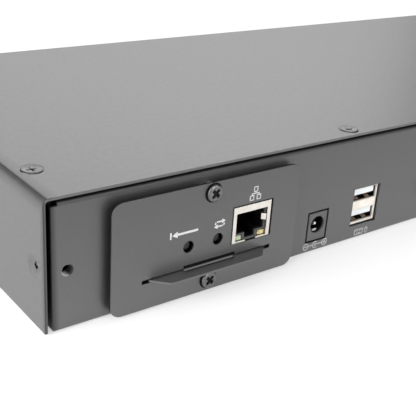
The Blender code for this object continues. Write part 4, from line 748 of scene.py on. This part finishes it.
def scaled(outlines, size):
    return [[(across * size, up * size) for across, up in outline] for outline in outlines]


def add_sign(bm, outlines, x, z, face, outward):
    """Thin printed shapes on a panel, sunk a little into it; outward is REARWARD or FORWARD."""
    foot = face - outward * INK_FOOT
    for outline in outlines:
        loop = [(x - outward * across * MM, foot, z + up * MM) for across, up in outline]
        add_prism(bm, loop, (0, outward * (INK_FOOT + INK), 0))


def add_number(bm, text, x, z, face, outward):
    """Upright numeral, centred on x, with its foot at z."""
    curve = bpy.data.curves.new("number", "FONT")
    curve.body = text
    curve.size = NUMERAL_HEIGHT / NUMERAL_SHARE
    curve.align_x = "CENTER"
    curve.extrude = (INK_FOOT + INK) / 2
    source = bpy.data.objects.new("number", curve)
    mesh = bpy.data.meshes.new_from_object(source)
    upright = Matrix(((-outward, 0, 0), (0, 0, outward), (0, 1, 0))).to_4x4()
    middle = face + outward * (INK - INK_FOOT) / 2
    mesh.transform(Matrix.Translation((x, middle, z)) @ upright)
    bm.from_mesh(mesh)
    bpy.data.meshes.remove(mesh)
    bpy.data.objects.remove(source)
    bpy.data.curves.remove(curve)


def make_marks():
    """Signs on the module's plate and the rear panel, placed from the left edge, and one at each button."""
    module_signs = [
        (return_sign(), 0.0410, 0.0231),
        (restart_sign(), 0.0582, 0.0231),
        (network_sign(), 0.0725, 0.0297),
    ]
    rear_signs = [
        (polarity_sign(), 0.1037, 0.0015),
        (input_sign(), 0.1310, 0.0013),
        (screen_sign(), 0.1824, 0.0215),
    ]
    button_sign = scaled(screen_sign(), FRONT_SIGN_SIZE)
    module, rear, front = bmesh.new(), bmesh.new(), bmesh.new()
    for outlines, x, z in module_signs:
        add_sign(module, outlines, LEFT + x, z, PLATE_FACE, REARWARD)
    new_piece("module_marks", module, WHITE_INK, "network_module")
    for outlines, x, z in rear_signs:
        add_sign(rear, outlines, LEFT + x, z, REAR_FACE, REARWARD)
    for index, x in enumerate(PORT_XS):
        add_number(rear, str(index + 1), x, NUMERAL_Z, REAR_FACE, REARWARD)
    new_piece("rear_marks", rear, GREY_INK, "chassis")
    for x in BUTTON_XS:
        add_sign(front, button_sign, x + FRONT_SIGN_X, FRONT_SIGN_Z, FRONT_FACE, FORWARD)
    new_piece("front_marks", front, WHITE_INK, "chassis")


# Socket details; a section holds (depth behind a face, height over a level), and a strip (width, sheet)


INLET_AXIS = 0.0061
INLET_MOUTH = 0.0034
INLET_SECTION = (
    (0.0088, 0.00002),
    (0.0040, 0.00010),
    (0.0018, 0.00025),
    (0.0014, 0.00060),
    (0.0013, 0.00135),
)
INLET_STRIP = (0.0019, 0.0002)

USB_WALL = 0.0004
USB_MOUTH = 0.0050
USB_STEP = 0.0087
USB_TONGUE_GAP = 0.0008
USB_TONGUE = 0.0022
USB_CONTACTS = 4
USB_PITCH = 0.0023
USB_HALF = 0.0005
USB_REACH = (0.0022, 0.0095)
USB_RISE = (-0.00008, 0.0001)
USB_SPRING_X = 0.0029
USB_SPRING_SECTION = ((0.0090, 0.00005), (0.0040, 0.00075), (0.0026, 0.00090), (0.0012, 0.00035))
USB_SPRING = (0.0022, 0.0002)

PORT_ROOF = 0.0104
PORT_WIRES = 8
WIRE_PITCH = 0.00102
WIRE_SECTION = ((0.0022, 0.00010), (0.0034, -0.00030), (0.0104, -0.00330), (0.0110, -0.00320))
WIRE = (0.00042, 0.0003)

SOCKET_BORE, SOCKET_RADIUS = 0.00027, 0.00038
SOCKET_REACH = (0.0008, 0.0040)
SOCKET_PITCH, SOCKET_ROW = 0.0023, 0.0020
SOCKET_SIDES = 12

PLUG_CONTACTS = 20
PLUG_PITCH = 0.0019
PLUG_HALF = 0.0005
PLUG_FOOT, PLUG_TOP = 0.0011, 0.00123
PLUG_REACH = (0.0048, 0.0004)


def bent(x, face, level, section):
    """Path at x of a strip with a given section."""
    return [(x, face + depth, level + rise) for depth, rise in section]


def make_inlet_contact():
    """Second contact of the power inlet: a strip on the floor of its mouth with an upturned lip."""
    low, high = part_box("dc_jack_body")
    x = (low[0] + high[0]) / 2
    bm = bmesh.new()
    add_strip(bm, bent(x, low[1], low[2] + INLET_AXIS - INLET_MOUTH, INLET_SECTION), ACROSS, *INLET_STRIP)
    new_piece("inlet_contact", bm, SATIN_NICKEL, "chassis", CONTACT_EDGE)


def make_usb_details():
    """Contact strips under the tongues, and the shell's springs below them."""
    low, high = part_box("usb_shell")
    centre = (low[0] + high[0]) / 2
    upper = high[2] - USB_WALL - USB_MOUTH
    near, far = past(USB_FACE, USB_REACH)
    strips, springs = bmesh.new(), bmesh.new()
    for floor in (upper, upper - USB_STEP):
        foot, top = past(floor + USB_MOUTH - USB_TONGUE_GAP - USB_TONGUE, USB_RISE)
        for offset in centred(USB_CONTACTS, USB_PITCH):
            x = centre + offset
            add_box(strips, (x - USB_HALF, near, foot), (x + USB_HALF, far, top))
        for side in (-1, 1):
            path = bent(centre + side * USB_SPRING_X, USB_FACE, floor, USB_SPRING_SECTION)
            add_strip(springs, path, ACROSS, *USB_SPRING)
    new_piece("usb_contacts", strips, GOLD, "chassis", USB_STRIP_EDGE)
    new_piece("usb_springs", springs, BRONZE, "chassis", USB_SPRING_EDGE)


def make_port_contacts():
    """Spring wires in each computer port, sloping in from under its roof."""
    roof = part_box("pc_port_body")[0][2] + PORT_ROOF
    bm = bmesh.new()
    for port in PORT_XS:
        for offset in centred(PORT_WIRES, WIRE_PITCH):
            add_strip(bm, bent(port + offset, PORT_FACE, roof, WIRE_SECTION), ACROSS, *WIRE)
    new_piece("pc_port_contacts", bm, GOLD, "chassis")


def make_console_sockets():
    """Three rows of five gold sockets in the holes of the console port."""
    low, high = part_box("console_port_shell")
    x, _, z = centre_of(low, high)
    near, far = past(low[1], SOCKET_REACH)
    rings = [(near, SOCKET_BORE), (near, SOCKET_RADIUS), (far, SOCKET_RADIUS), (far, SOCKET_BORE)]
    bm = bmesh.new()
    for row in (-1, 0, 1):
        for column in range(-2, 3):
            add_turned(bm, x + SOCKET_PITCH * (column + row / 4), z - SOCKET_ROW * row, rings, SOCKET_SIDES)
    new_piece("console_sockets", bm, GOLD, "chassis")


def make_plug_contacts():
    """Gold strips on both faces of the module plug's tongue."""
    low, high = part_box("module_plug")
    centre, _, middle = centre_of(low, high)
    near, far = inward(high[1], PLUG_REACH)
    bm = bmesh.new()
    for offset in centred(PLUG_CONTACTS, PLUG_PITCH):
        x = centre + offset
        for side in (-1, 1):
            foot, top = sorted((middle + side * PLUG_FOOT, middle + side * PLUG_TOP))
            add_box(bm, (x - PLUG_HALF, near, foot), (x + PLUG_HALF, far, top))
    new_piece("plug_contacts", bm, GOLD, "network_module")


# Ground hole, screws, and black pieces of painted shadow; the screw heads are drawn in millimetres as
# (radius, height over the cover)


THREAD_PITCH, THREAD_TURNS = 0.0005, 6
THREAD_ROOT, THREAD_CREST = 0.00192, 0.00166
COLLAR_MOUTH = 0.0002
COLLAR_NECK, COLLAR_NECK_END = 0.00199, 0.0009
COLLAR_RADIUS, COLLAR_SHOULDER = 0.0028, 0.0013
COLLAR_SIDES = 36

RAISED_CROWN = [
    *[(0, -0.02), (2.2, 0.00), (2.7, 0.07), (3.0, 0.06)],
    *[(3.25, -0.02), (3.45, -0.18), (3.6, -0.42)],
]
FLUSH_CROWN = [(0, -0.40), (2.5, -0.40), (2.8, -0.42), (3.6, -0.52)]
HEAD_RADII = [
    *[0.08 + 0.15 * step for step in range(14)],
    *[2.2, 2.45, 2.7, 2.85, 3.0, 3.12, 3.25, 3.35, 3.45, 3.6],
]
HEAD_SIDES = 48
STEM_RADIUS, STEM_DROP = 1.75, 0.1
CROSS_REACH, CROSS_HALF, CROSS_WALL = 1.5, 0.42, 0.12
CROSS_DEPTH, CROSS_SLOPE = 1.0, 2.0

RING_BORE, RING_TOP_RADIUS, RING_FOOT_RADIUS = 0.00304, 0.00330, 0.00340
RING_TOP, RING_FOOT = 0.00012, 0.00002
SLOT_SHADOW_HALF = 0.0105
SLOT_SHADOW_DEPTH = (-0.00003, 0.00020)
SLOT_SHADOW_RISE = (-0.00080, 0.00025)
NOTCH_EDGE = 0.0009
TRAY_DROP = 0.0022


def make_ground_collar():
    """Threaded collar of the ground hole; its section runs in along the thread and back outside."""
    mouth = REAR_FACE + COLLAR_MOUTH
    end = mouth + THREAD_PITCH * THREAD_TURNS
    rings = []
    for turn in range(THREAD_TURNS):
        rings.append((mouth + THREAD_PITCH * turn, THREAD_ROOT))
        rings.append((mouth + THREAD_PITCH * (turn + 0.5), THREAD_CREST))
    rings += [
        (end, THREAD_ROOT),
        (end, COLLAR_RADIUS),
        (REAR_FACE + COLLAR_SHOULDER, COLLAR_RADIUS),
        (REAR_FACE + COLLAR_NECK_END, COLLAR_NECK),
        (mouth, COLLAR_NECK),
    ]
    bm = bmesh.new()
    add_turned(bm, GROUND_X, GROUND_Z, rings, COLLAR_SIDES)
    new_piece("ground_collar", bm, COLLAR_ZINC, "chassis", whole=False)


def height_on(crown, radius):
    """Height of a screw head's section at a radius."""
    for (near, low), (far, high) in zip(crown, crown[1:]):
        if radius <= far:
            return low + (high - low) * (radius - near) / (far - near)
    return crown[-1][1]


def cross_depth(x, y):
    """Depth of the tapered cross below the head's face."""
    depth = 0.0
    for reach, aside in ((abs(x), abs(y)), (abs(y), abs(x))):
        wall = min(max((CROSS_HALF - aside) / CROSS_WALL + 0.5, 0.0), 1.0)
        depth = max(depth, wall * min(CROSS_DEPTH, CROSS_SLOPE * max(CROSS_REACH - reach, 0.0)))
    return depth


def add_screw_head(bm, centre, direction, crown):
    """Head with a tapered cross over a sunk screw, which hides its stem; the crown is its section."""
    turn = Vector(direction).to_track_quat("Z", "Y").to_matrix()

    def add_loop(radius, height, cross):
        loop = []
        for angle in whole_turn(HEAD_SIDES):
            x, y = radius * math.cos(angle), radius * math.sin(angle)
            place = Vector((x, y, height - (cross_depth(x, y) if cross else 0))) * MM
            loop.append(bm.verts.new(Vector(centre) + turn @ place))
        return loop

    loops = [add_loop(radius, height_on(crown, radius), True) for radius in HEAD_RADII]
    loops.append(add_loop(STEM_RADIUS, crown[-1][1] - STEM_DROP, False))
    loops.append(add_loop(STEM_RADIUS, crown[0][1] - CROSS_DEPTH - STEM_DROP, False))
    bm.faces.new(loops[0])
    bm.faces.new(loops[-1])
    for inner, outer in zip(loops, loops[1:]):
        for index in range(HEAD_SIDES):
            after = (index + 1) % HEAD_SIDES
            bm.faces.new((inner[index], outer[index], outer[after], inner[after]))


def make_screw_heads():
    """Heads of the cover screws: crowned on the cover, flush in its side walls."""
    top, side = bmesh.new(), bmesh.new()
    for number in TOP_SCREWS:
        x, y, _ = centre_of(*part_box("cover_screw_%d" % number))
        add_screw_head(top, (x, y, COVER_TOP), (0, 0, 1), RAISED_CROWN)
    for number in SIDE_SCREWS:
        x, y, z = centre_of(*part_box("cover_screw_%d" % number))
        out = math.copysign(1, x)
        add_screw_head(side, (out * CAD_BOX[1][0], y, z), (out, 0, 0), FLUSH_CROWN)
    new_piece("top_screw_heads", top, TOP_SCREW, "chassis", whole=False)
    new_piece("side_screw_heads", side, SIDE_SCREW, "chassis", whole=False)


def make_screw_shadow_rings():
    """Black rings of painted shadow round the plate's screw heads."""
    top, foot = PLATE_FACE - RING_TOP, PLATE_FACE + RING_FOOT
    rings = [(top, RING_BORE), (top, RING_TOP_RADIUS), (foot, RING_FOOT_RADIUS), (foot, RING_BORE)]
    bm = bmesh.new()
    for name in ("module_screw_top", "module_screw_bottom"):
        x, _, z = centre_of(*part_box(name))
        add_turned(bm, x, z, rings)
    new_piece("screw_shadow_rings", bm, SHADOW_BLACK, "network_module")


def make_slot_shadow():
    """Black strip of painted shadow that closes the plate's notch over the tab's window."""
    tray_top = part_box("module_board")[0][2] - TRAY_DROP
    x = (PLATE_LOW[0] + PLATE_HIGH[0]) / 2
    near, far = past(PLATE_FACE, SLOT_SHADOW_DEPTH)
    foot, top = past(tray_top + NOTCH_EDGE, SLOT_SHADOW_RISE)
    bm = bmesh.new()
    add_box(bm, (x - SLOT_SHADOW_HALF, near, foot), (x + SLOT_SHADOW_HALF, far, top))
    new_piece("slot_shadow", bm, SHADOW_BLACK, "network_module")


# Small parts of the module's board; a chip has its offset, its size and its legs on a side


CHIPS = ((-0.010, 0.0, 0.0130, 16), (0.010, -0.010, 0.0080, 10), (0.010, 0.010, 0.0080, 10))
LEG_SHARE = 0.86
LEG_SECTION = ((-0.0001, 0.0008), (0.0003, 0.0008), (0.0005, 0.0001), (0.0011, 0.0001))
LEG = (0.00026, 0.0001)
BOARD_GAP = 0.00005
PART_SUNK = 0.0001
CAP_COUNT = 6
CAP_SHARE = 0.17
CAP_GAP = 0.0026
CAP_HALF_X, CAP_HALF_Y, CAP_TOP = 0.0003, 0.0005, 0.0006
CAP_END = 0.00062
END_HALF_X, END_HALF_Y, END_TOP = 0.00034, 0.00016, 0.00064


def add_legs(bm, chip, size, count):
    """Bent legs on the four sides of a chip whose middle is on the board."""
    for turn in range(4):
        out = Vector((math.cos(turn * math.pi / 2), math.sin(turn * math.pi / 2), 0))
        across = Vector((-out.y, out.x, 0))
        for index in range(count):
            foot = chip + across * size * LEG_SHARE * (index / (count - 1) - 0.5)
            path = [foot + out * (size / 2 + reach) + Vector((0, 0, rise)) for reach, rise in LEG_SECTION]
            add_strip(bm, path, across, *LEG)


def make_board_parts():
    """Chip legs and small capacitors of the module's board."""
    jack_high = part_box("lan_jack_shield")[1]
    plug_low, plug_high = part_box("module_plug")
    x, y = (plug_low[0] + plug_high[0]) / 2, (jack_high[1] + plug_low[1]) / 2
    top = plug_low[2] - BOARD_GAP
    foot = top - PART_SUNK
    legs, caps, ends = bmesh.new(), bmesh.new(), bmesh.new()

    def add_block(bm, across, deep, half_x, half_y, height):
        add_box(bm, (across - half_x, deep - half_y, foot), (across + half_x, deep + half_y, top + height))

    for offset_x, offset_y, size, count in CHIPS:
        chip_x, chip_y = x + offset_x, y + offset_y
        add_legs(legs, Vector((chip_x, chip_y, top)), size, count)
        for offset in centred(CAP_COUNT, size * CAP_SHARE):
            cap_x = chip_x + offset
            for cap_y in (chip_y - size / 2 - CAP_GAP, chip_y + size / 2 + CAP_GAP):
                add_block(caps, cap_x, cap_y, CAP_HALF_X, CAP_HALF_Y, CAP_TOP)
                for side in (-1, 1):
                    add_block(ends, cap_x, cap_y + side * CAP_END, END_HALF_X, END_HALF_Y, END_TOP)
    new_piece("chip_legs", legs, TIN, "network_module")
    new_piece("board_capacitors", caps, CERAMIC, "network_module")
    new_piece("capacitor_ends", ends, TIN, "network_module")


# Studio


def mirrored_rays(tree, path):
    """1 for rays that come by way of a reflection or through glass."""
    return combine(tree, "MAXIMUM", path.outputs["Is Glossy Ray"], path.outputs["Is Transmission Ray"])


def make_floor_coat():
    """Pale floor that turns to plain white away from the object, and keeps the object's shadow near it."""
    coat = new_material("pale_floor", (0.92, 0.92, 0.92), 0.9)
    shader_of(coat).inputs["Specular IOR Level"].default_value = 0.1
    tree = coat.node_tree
    place = tree.nodes.new("ShaderNodeTexCoord")
    away = tree.nodes.new("ShaderNodeVectorMath")
    away.operation = "LENGTH"
    tree.links.new(place.outputs["Object"], away.inputs[0])
    white_share = remap(tree, away.outputs["Value"], (FLOOR_NEAR, FLOOR_FAR), (FLOOR_WHITE, 1), smooth=True)
    path = tree.nodes.new("ShaderNodeLightPath")
    shown = combine(tree, "MAXIMUM", path.outputs["Is Camera Ray"], mirrored_rays(tree, path))
    white = tree.nodes.new("ShaderNodeEmission")
    mix = tree.nodes.new("ShaderNodeMixShader")
    tree.links.new(combine(tree, "MULTIPLY", shown, white_share), mix.inputs["Fac"])
    tree.links.new(shader_of(coat).outputs["BSDF"], mix.inputs[1])
    tree.links.new(white.outputs["Emission"], mix.inputs[2])
    tree.links.new(mix.outputs["Shader"], tree.nodes["Material Output"].inputs["Surface"])
    return coat


def make_floor():
    bm = bmesh.new()
    corners = [(-1, -1), (1, -1), (1, 1), (-1, 1)]
    bm.faces.new([bm.verts.new((x * FLOOR_REACH, y * FLOOR_REACH, FLOOR_LEVEL)) for x, y in corners])
    mesh = bpy.data.meshes.new("floor")
    bm.to_mesh(mesh)
    bm.free()
    mesh.materials.append(make_floor_coat())
    floor = bpy.data.objects.new("floor", mesh)
    bpy.context.scene.collection.objects.link(floor)


def make_softbox(name, place, aim, width, height, radiance):
    data = bpy.data.lights.new(name, "AREA")
    data.shape = "RECTANGLE"
    data.size = width
    data.size_y = height
    data.energy = radiance * math.pi * width * height
    lamp = bpy.data.objects.new(name, data)
    lamp.location = place
    lamp.rotation_euler = (Vector(place) - Vector(aim)).to_track_quat("Z", "Y").to_euler()
    lamp.visible_camera = False
    bpy.context.scene.collection.objects.link(lamp)


def make_world():
    """White behind the floor for the camera, white low in reflections, and an even pale light."""
    world = bpy.data.worlds.new("studio")
    bpy.context.scene.world = world
    world.use_nodes = True
    tree = world.node_tree
    light = tree.nodes["Background"]
    backdrop = tree.nodes.new("ShaderNodeBackground")
    seen = tree.nodes.new("ShaderNodeBackground")
    for shader in (light, backdrop, seen):
        shader.inputs["Color"].default_value = (1, 1, 1, 1)
    light.inputs["Strength"].default_value = WORLD_LIGHT
    place = tree.nodes.new("ShaderNodeTexCoord")
    split = tree.nodes.new("ShaderNodeSeparateXYZ")
    tree.links.new(place.outputs["Generated"], split.inputs["Vector"])
    fall = remap(tree, split.outputs["Z"], (BACKDROP_TOP, BACKDROP_END), (1, WORLD_LIGHT))
    tree.links.new(fall, backdrop.inputs["Strength"])
    path = tree.nodes.new("ShaderNodeLightPath")
    reflect = tree.nodes.new("ShaderNodeMixShader")
    mix = tree.nodes.new("ShaderNodeMixShader")
    tree.links.new(mirrored_rays(tree, path), reflect.inputs["Fac"])
    tree.links.new(light.outputs["Background"], reflect.inputs[1])
    tree.links.new(backdrop.outputs["Background"], reflect.inputs[2])
    tree.links.new(path.outputs["Is Camera Ray"], mix.inputs["Fac"])
    tree.links.new(reflect.outputs["Shader"], mix.inputs[1])
    tree.links.new(seen.outputs["Background"], mix.inputs[2])
    tree.links.new(mix.outputs["Shader"], tree.nodes["World Output"].inputs["Surface"])


def make_lights():
    make_world()
    for name, softbox in SOFTBOXES.items():
        make_softbox(name, *softbox)


def make_camera():
    turn, lift, roll = CAMERA_AZIMUTH, CAMERA_ELEVATION, CAMERA_ROLL
    back = Vector((math.sin(turn) * math.cos(lift), -math.cos(turn) * math.cos(lift), math.sin(lift)))
    level = Vector((math.cos(turn), math.sin(turn), 0))
    rise = back.cross(level)
    right = level * math.cos(roll) + rise * math.sin(roll)
    up = rise * math.cos(roll) - level * math.sin(roll)
    data = bpy.data.cameras.new("camera")
    data.sensor_width = SENSOR_WIDTH
    data.lens = SENSOR_WIDTH * FOCAL_PIXELS / IMAGE_PIXELS
    data.clip_start = CLIP_START
    camera = bpy.data.objects.new("camera", data)
    facing = Matrix((right, up, back)).transposed().to_4x4()
    camera.matrix_world = Matrix.Translation(CAMERA_PLACE) @ facing
    bpy.context.scene.collection.objects.link(camera)
    bpy.context.scene.camera = camera


# Looks of the CAD nodes


SOCKET_GAP = 0.0003
FRONT_BOARD_SHEET = 0.0016
CHIP_FOOT = 0.00005


def named(stem, numbers):
    return ["%s_%d" % (stem, number) for number in numbers]


def dress_boards():
    """Boards, with the level above which the chips fused to each stand."""
    module_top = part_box("module_plug")[0][2] - SOCKET_GAP
    main_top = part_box("pc_port_shield")[0][2] - SOCKET_GAP
    front_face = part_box("front_board")[0][1] + FRONT_BOARD_SHEET
    for name, axis, level in (
        ("module_board", "Z", module_top),
        ("main_board", "Z", main_top),
        ("front_board", "Y", front_face),
    ):
        dress([name], make_board_coat(name + "_coat", axis, level + CHIP_FOOT), THIN_EDGE)


def dress_nodes():
    dress(["top_cover"], COVER_COAT, SHEET_EDGE)
    dress(["module_tray"], POWDER_COAT, SHEET_EDGE)
    dress(["base_tray"], PANEL_COAT, SHEET_EDGE)
    dress(["module_plate"], PLATE_COAT, SHEET_EDGE)
    dress(named("cover_screw", TOP_SCREWS), TOP_SCREW, SCREW_EDGE)
    dress(named("cover_screw", SIDE_SCREWS), SIDE_SCREW, SCREW_EDGE)
    dress(["module_screw_top", "module_screw_bottom"], PLATE_SCREW, SCREW_EDGE)
    dress(named("board_screw", range(1, 5)), ZINC, SCREW_EDGE)
    dress(["bay_standoff_top", "bay_standoff_bottom"], ZINC, THIN_EDGE)
    dress(["console_jackscrew_left", "console_jackscrew_right"], ZINC, JACKSCREW_EDGE)
    dress(["lan_jack_shield", "pc_port_shield", "dc_jack_pin", "dc_jack_spring"], NICKEL, THIN_EDGE)
    dress(["console_port_shell"], NICKEL, BODY_EDGE)
    dress(["usb_shell"], USB_PLATE, THIN_EDGE)
    dress(["lan_contacts"], GOLD, CONTACT_EDGE)
    dress(["lan_jack_body"], JACK_PLASTIC, THIN_EDGE)
    dress(["pc_port_body"], PORT_PLASTIC, THIN_EDGE)
    dress(["dc_jack_body"], INLET_PLASTIC, THIN_EDGE)
    dress(["default_switch", "reset_switch", "module_plug", "bay_socket"], BLACK_PLASTIC, BODY_EDGE)
    dress(["front_header", "bay_rail_left", "bay_rail_right"], BLACK_PLASTIC, BODY_EDGE)
    dress(["default_button", "reset_button"], BLACK_PLASTIC, THIN_EDGE)
    dress(named("port_button", range(1, PORT_COUNT + 1)), BLACK_PLASTIC, BUTTON_EDGE, segments=3)
    dress(["usb_body"], WHITE_PLASTIC, BODY_EDGE)
    dress(["console_port_insert"], BLUE_PLASTIC, THIN_EDGE)
    dress(["lan_led_left"], GREEN_LENS, BODY_EDGE)
    dress(["lan_led_right"], AMBER_LENS, BODY_EDGE)
    dress(["led_light_pipe"], CLEAR_PLASTIC, BODY_EDGE)
    dress_boards()


bpy.context.scene.view_settings.view_transform = "Standard"
make_camera()
make_lights()
make_floor()
dress_nodes()
make_marks()
make_inlet_contact()
make_usb_details()
make_port_contacts()
make_ground_collar()
make_screw_heads()
make_screw_shadow_rings()
make_slot_shadow()
make_console_sockets()
make_plug_contacts()
make_board_parts()
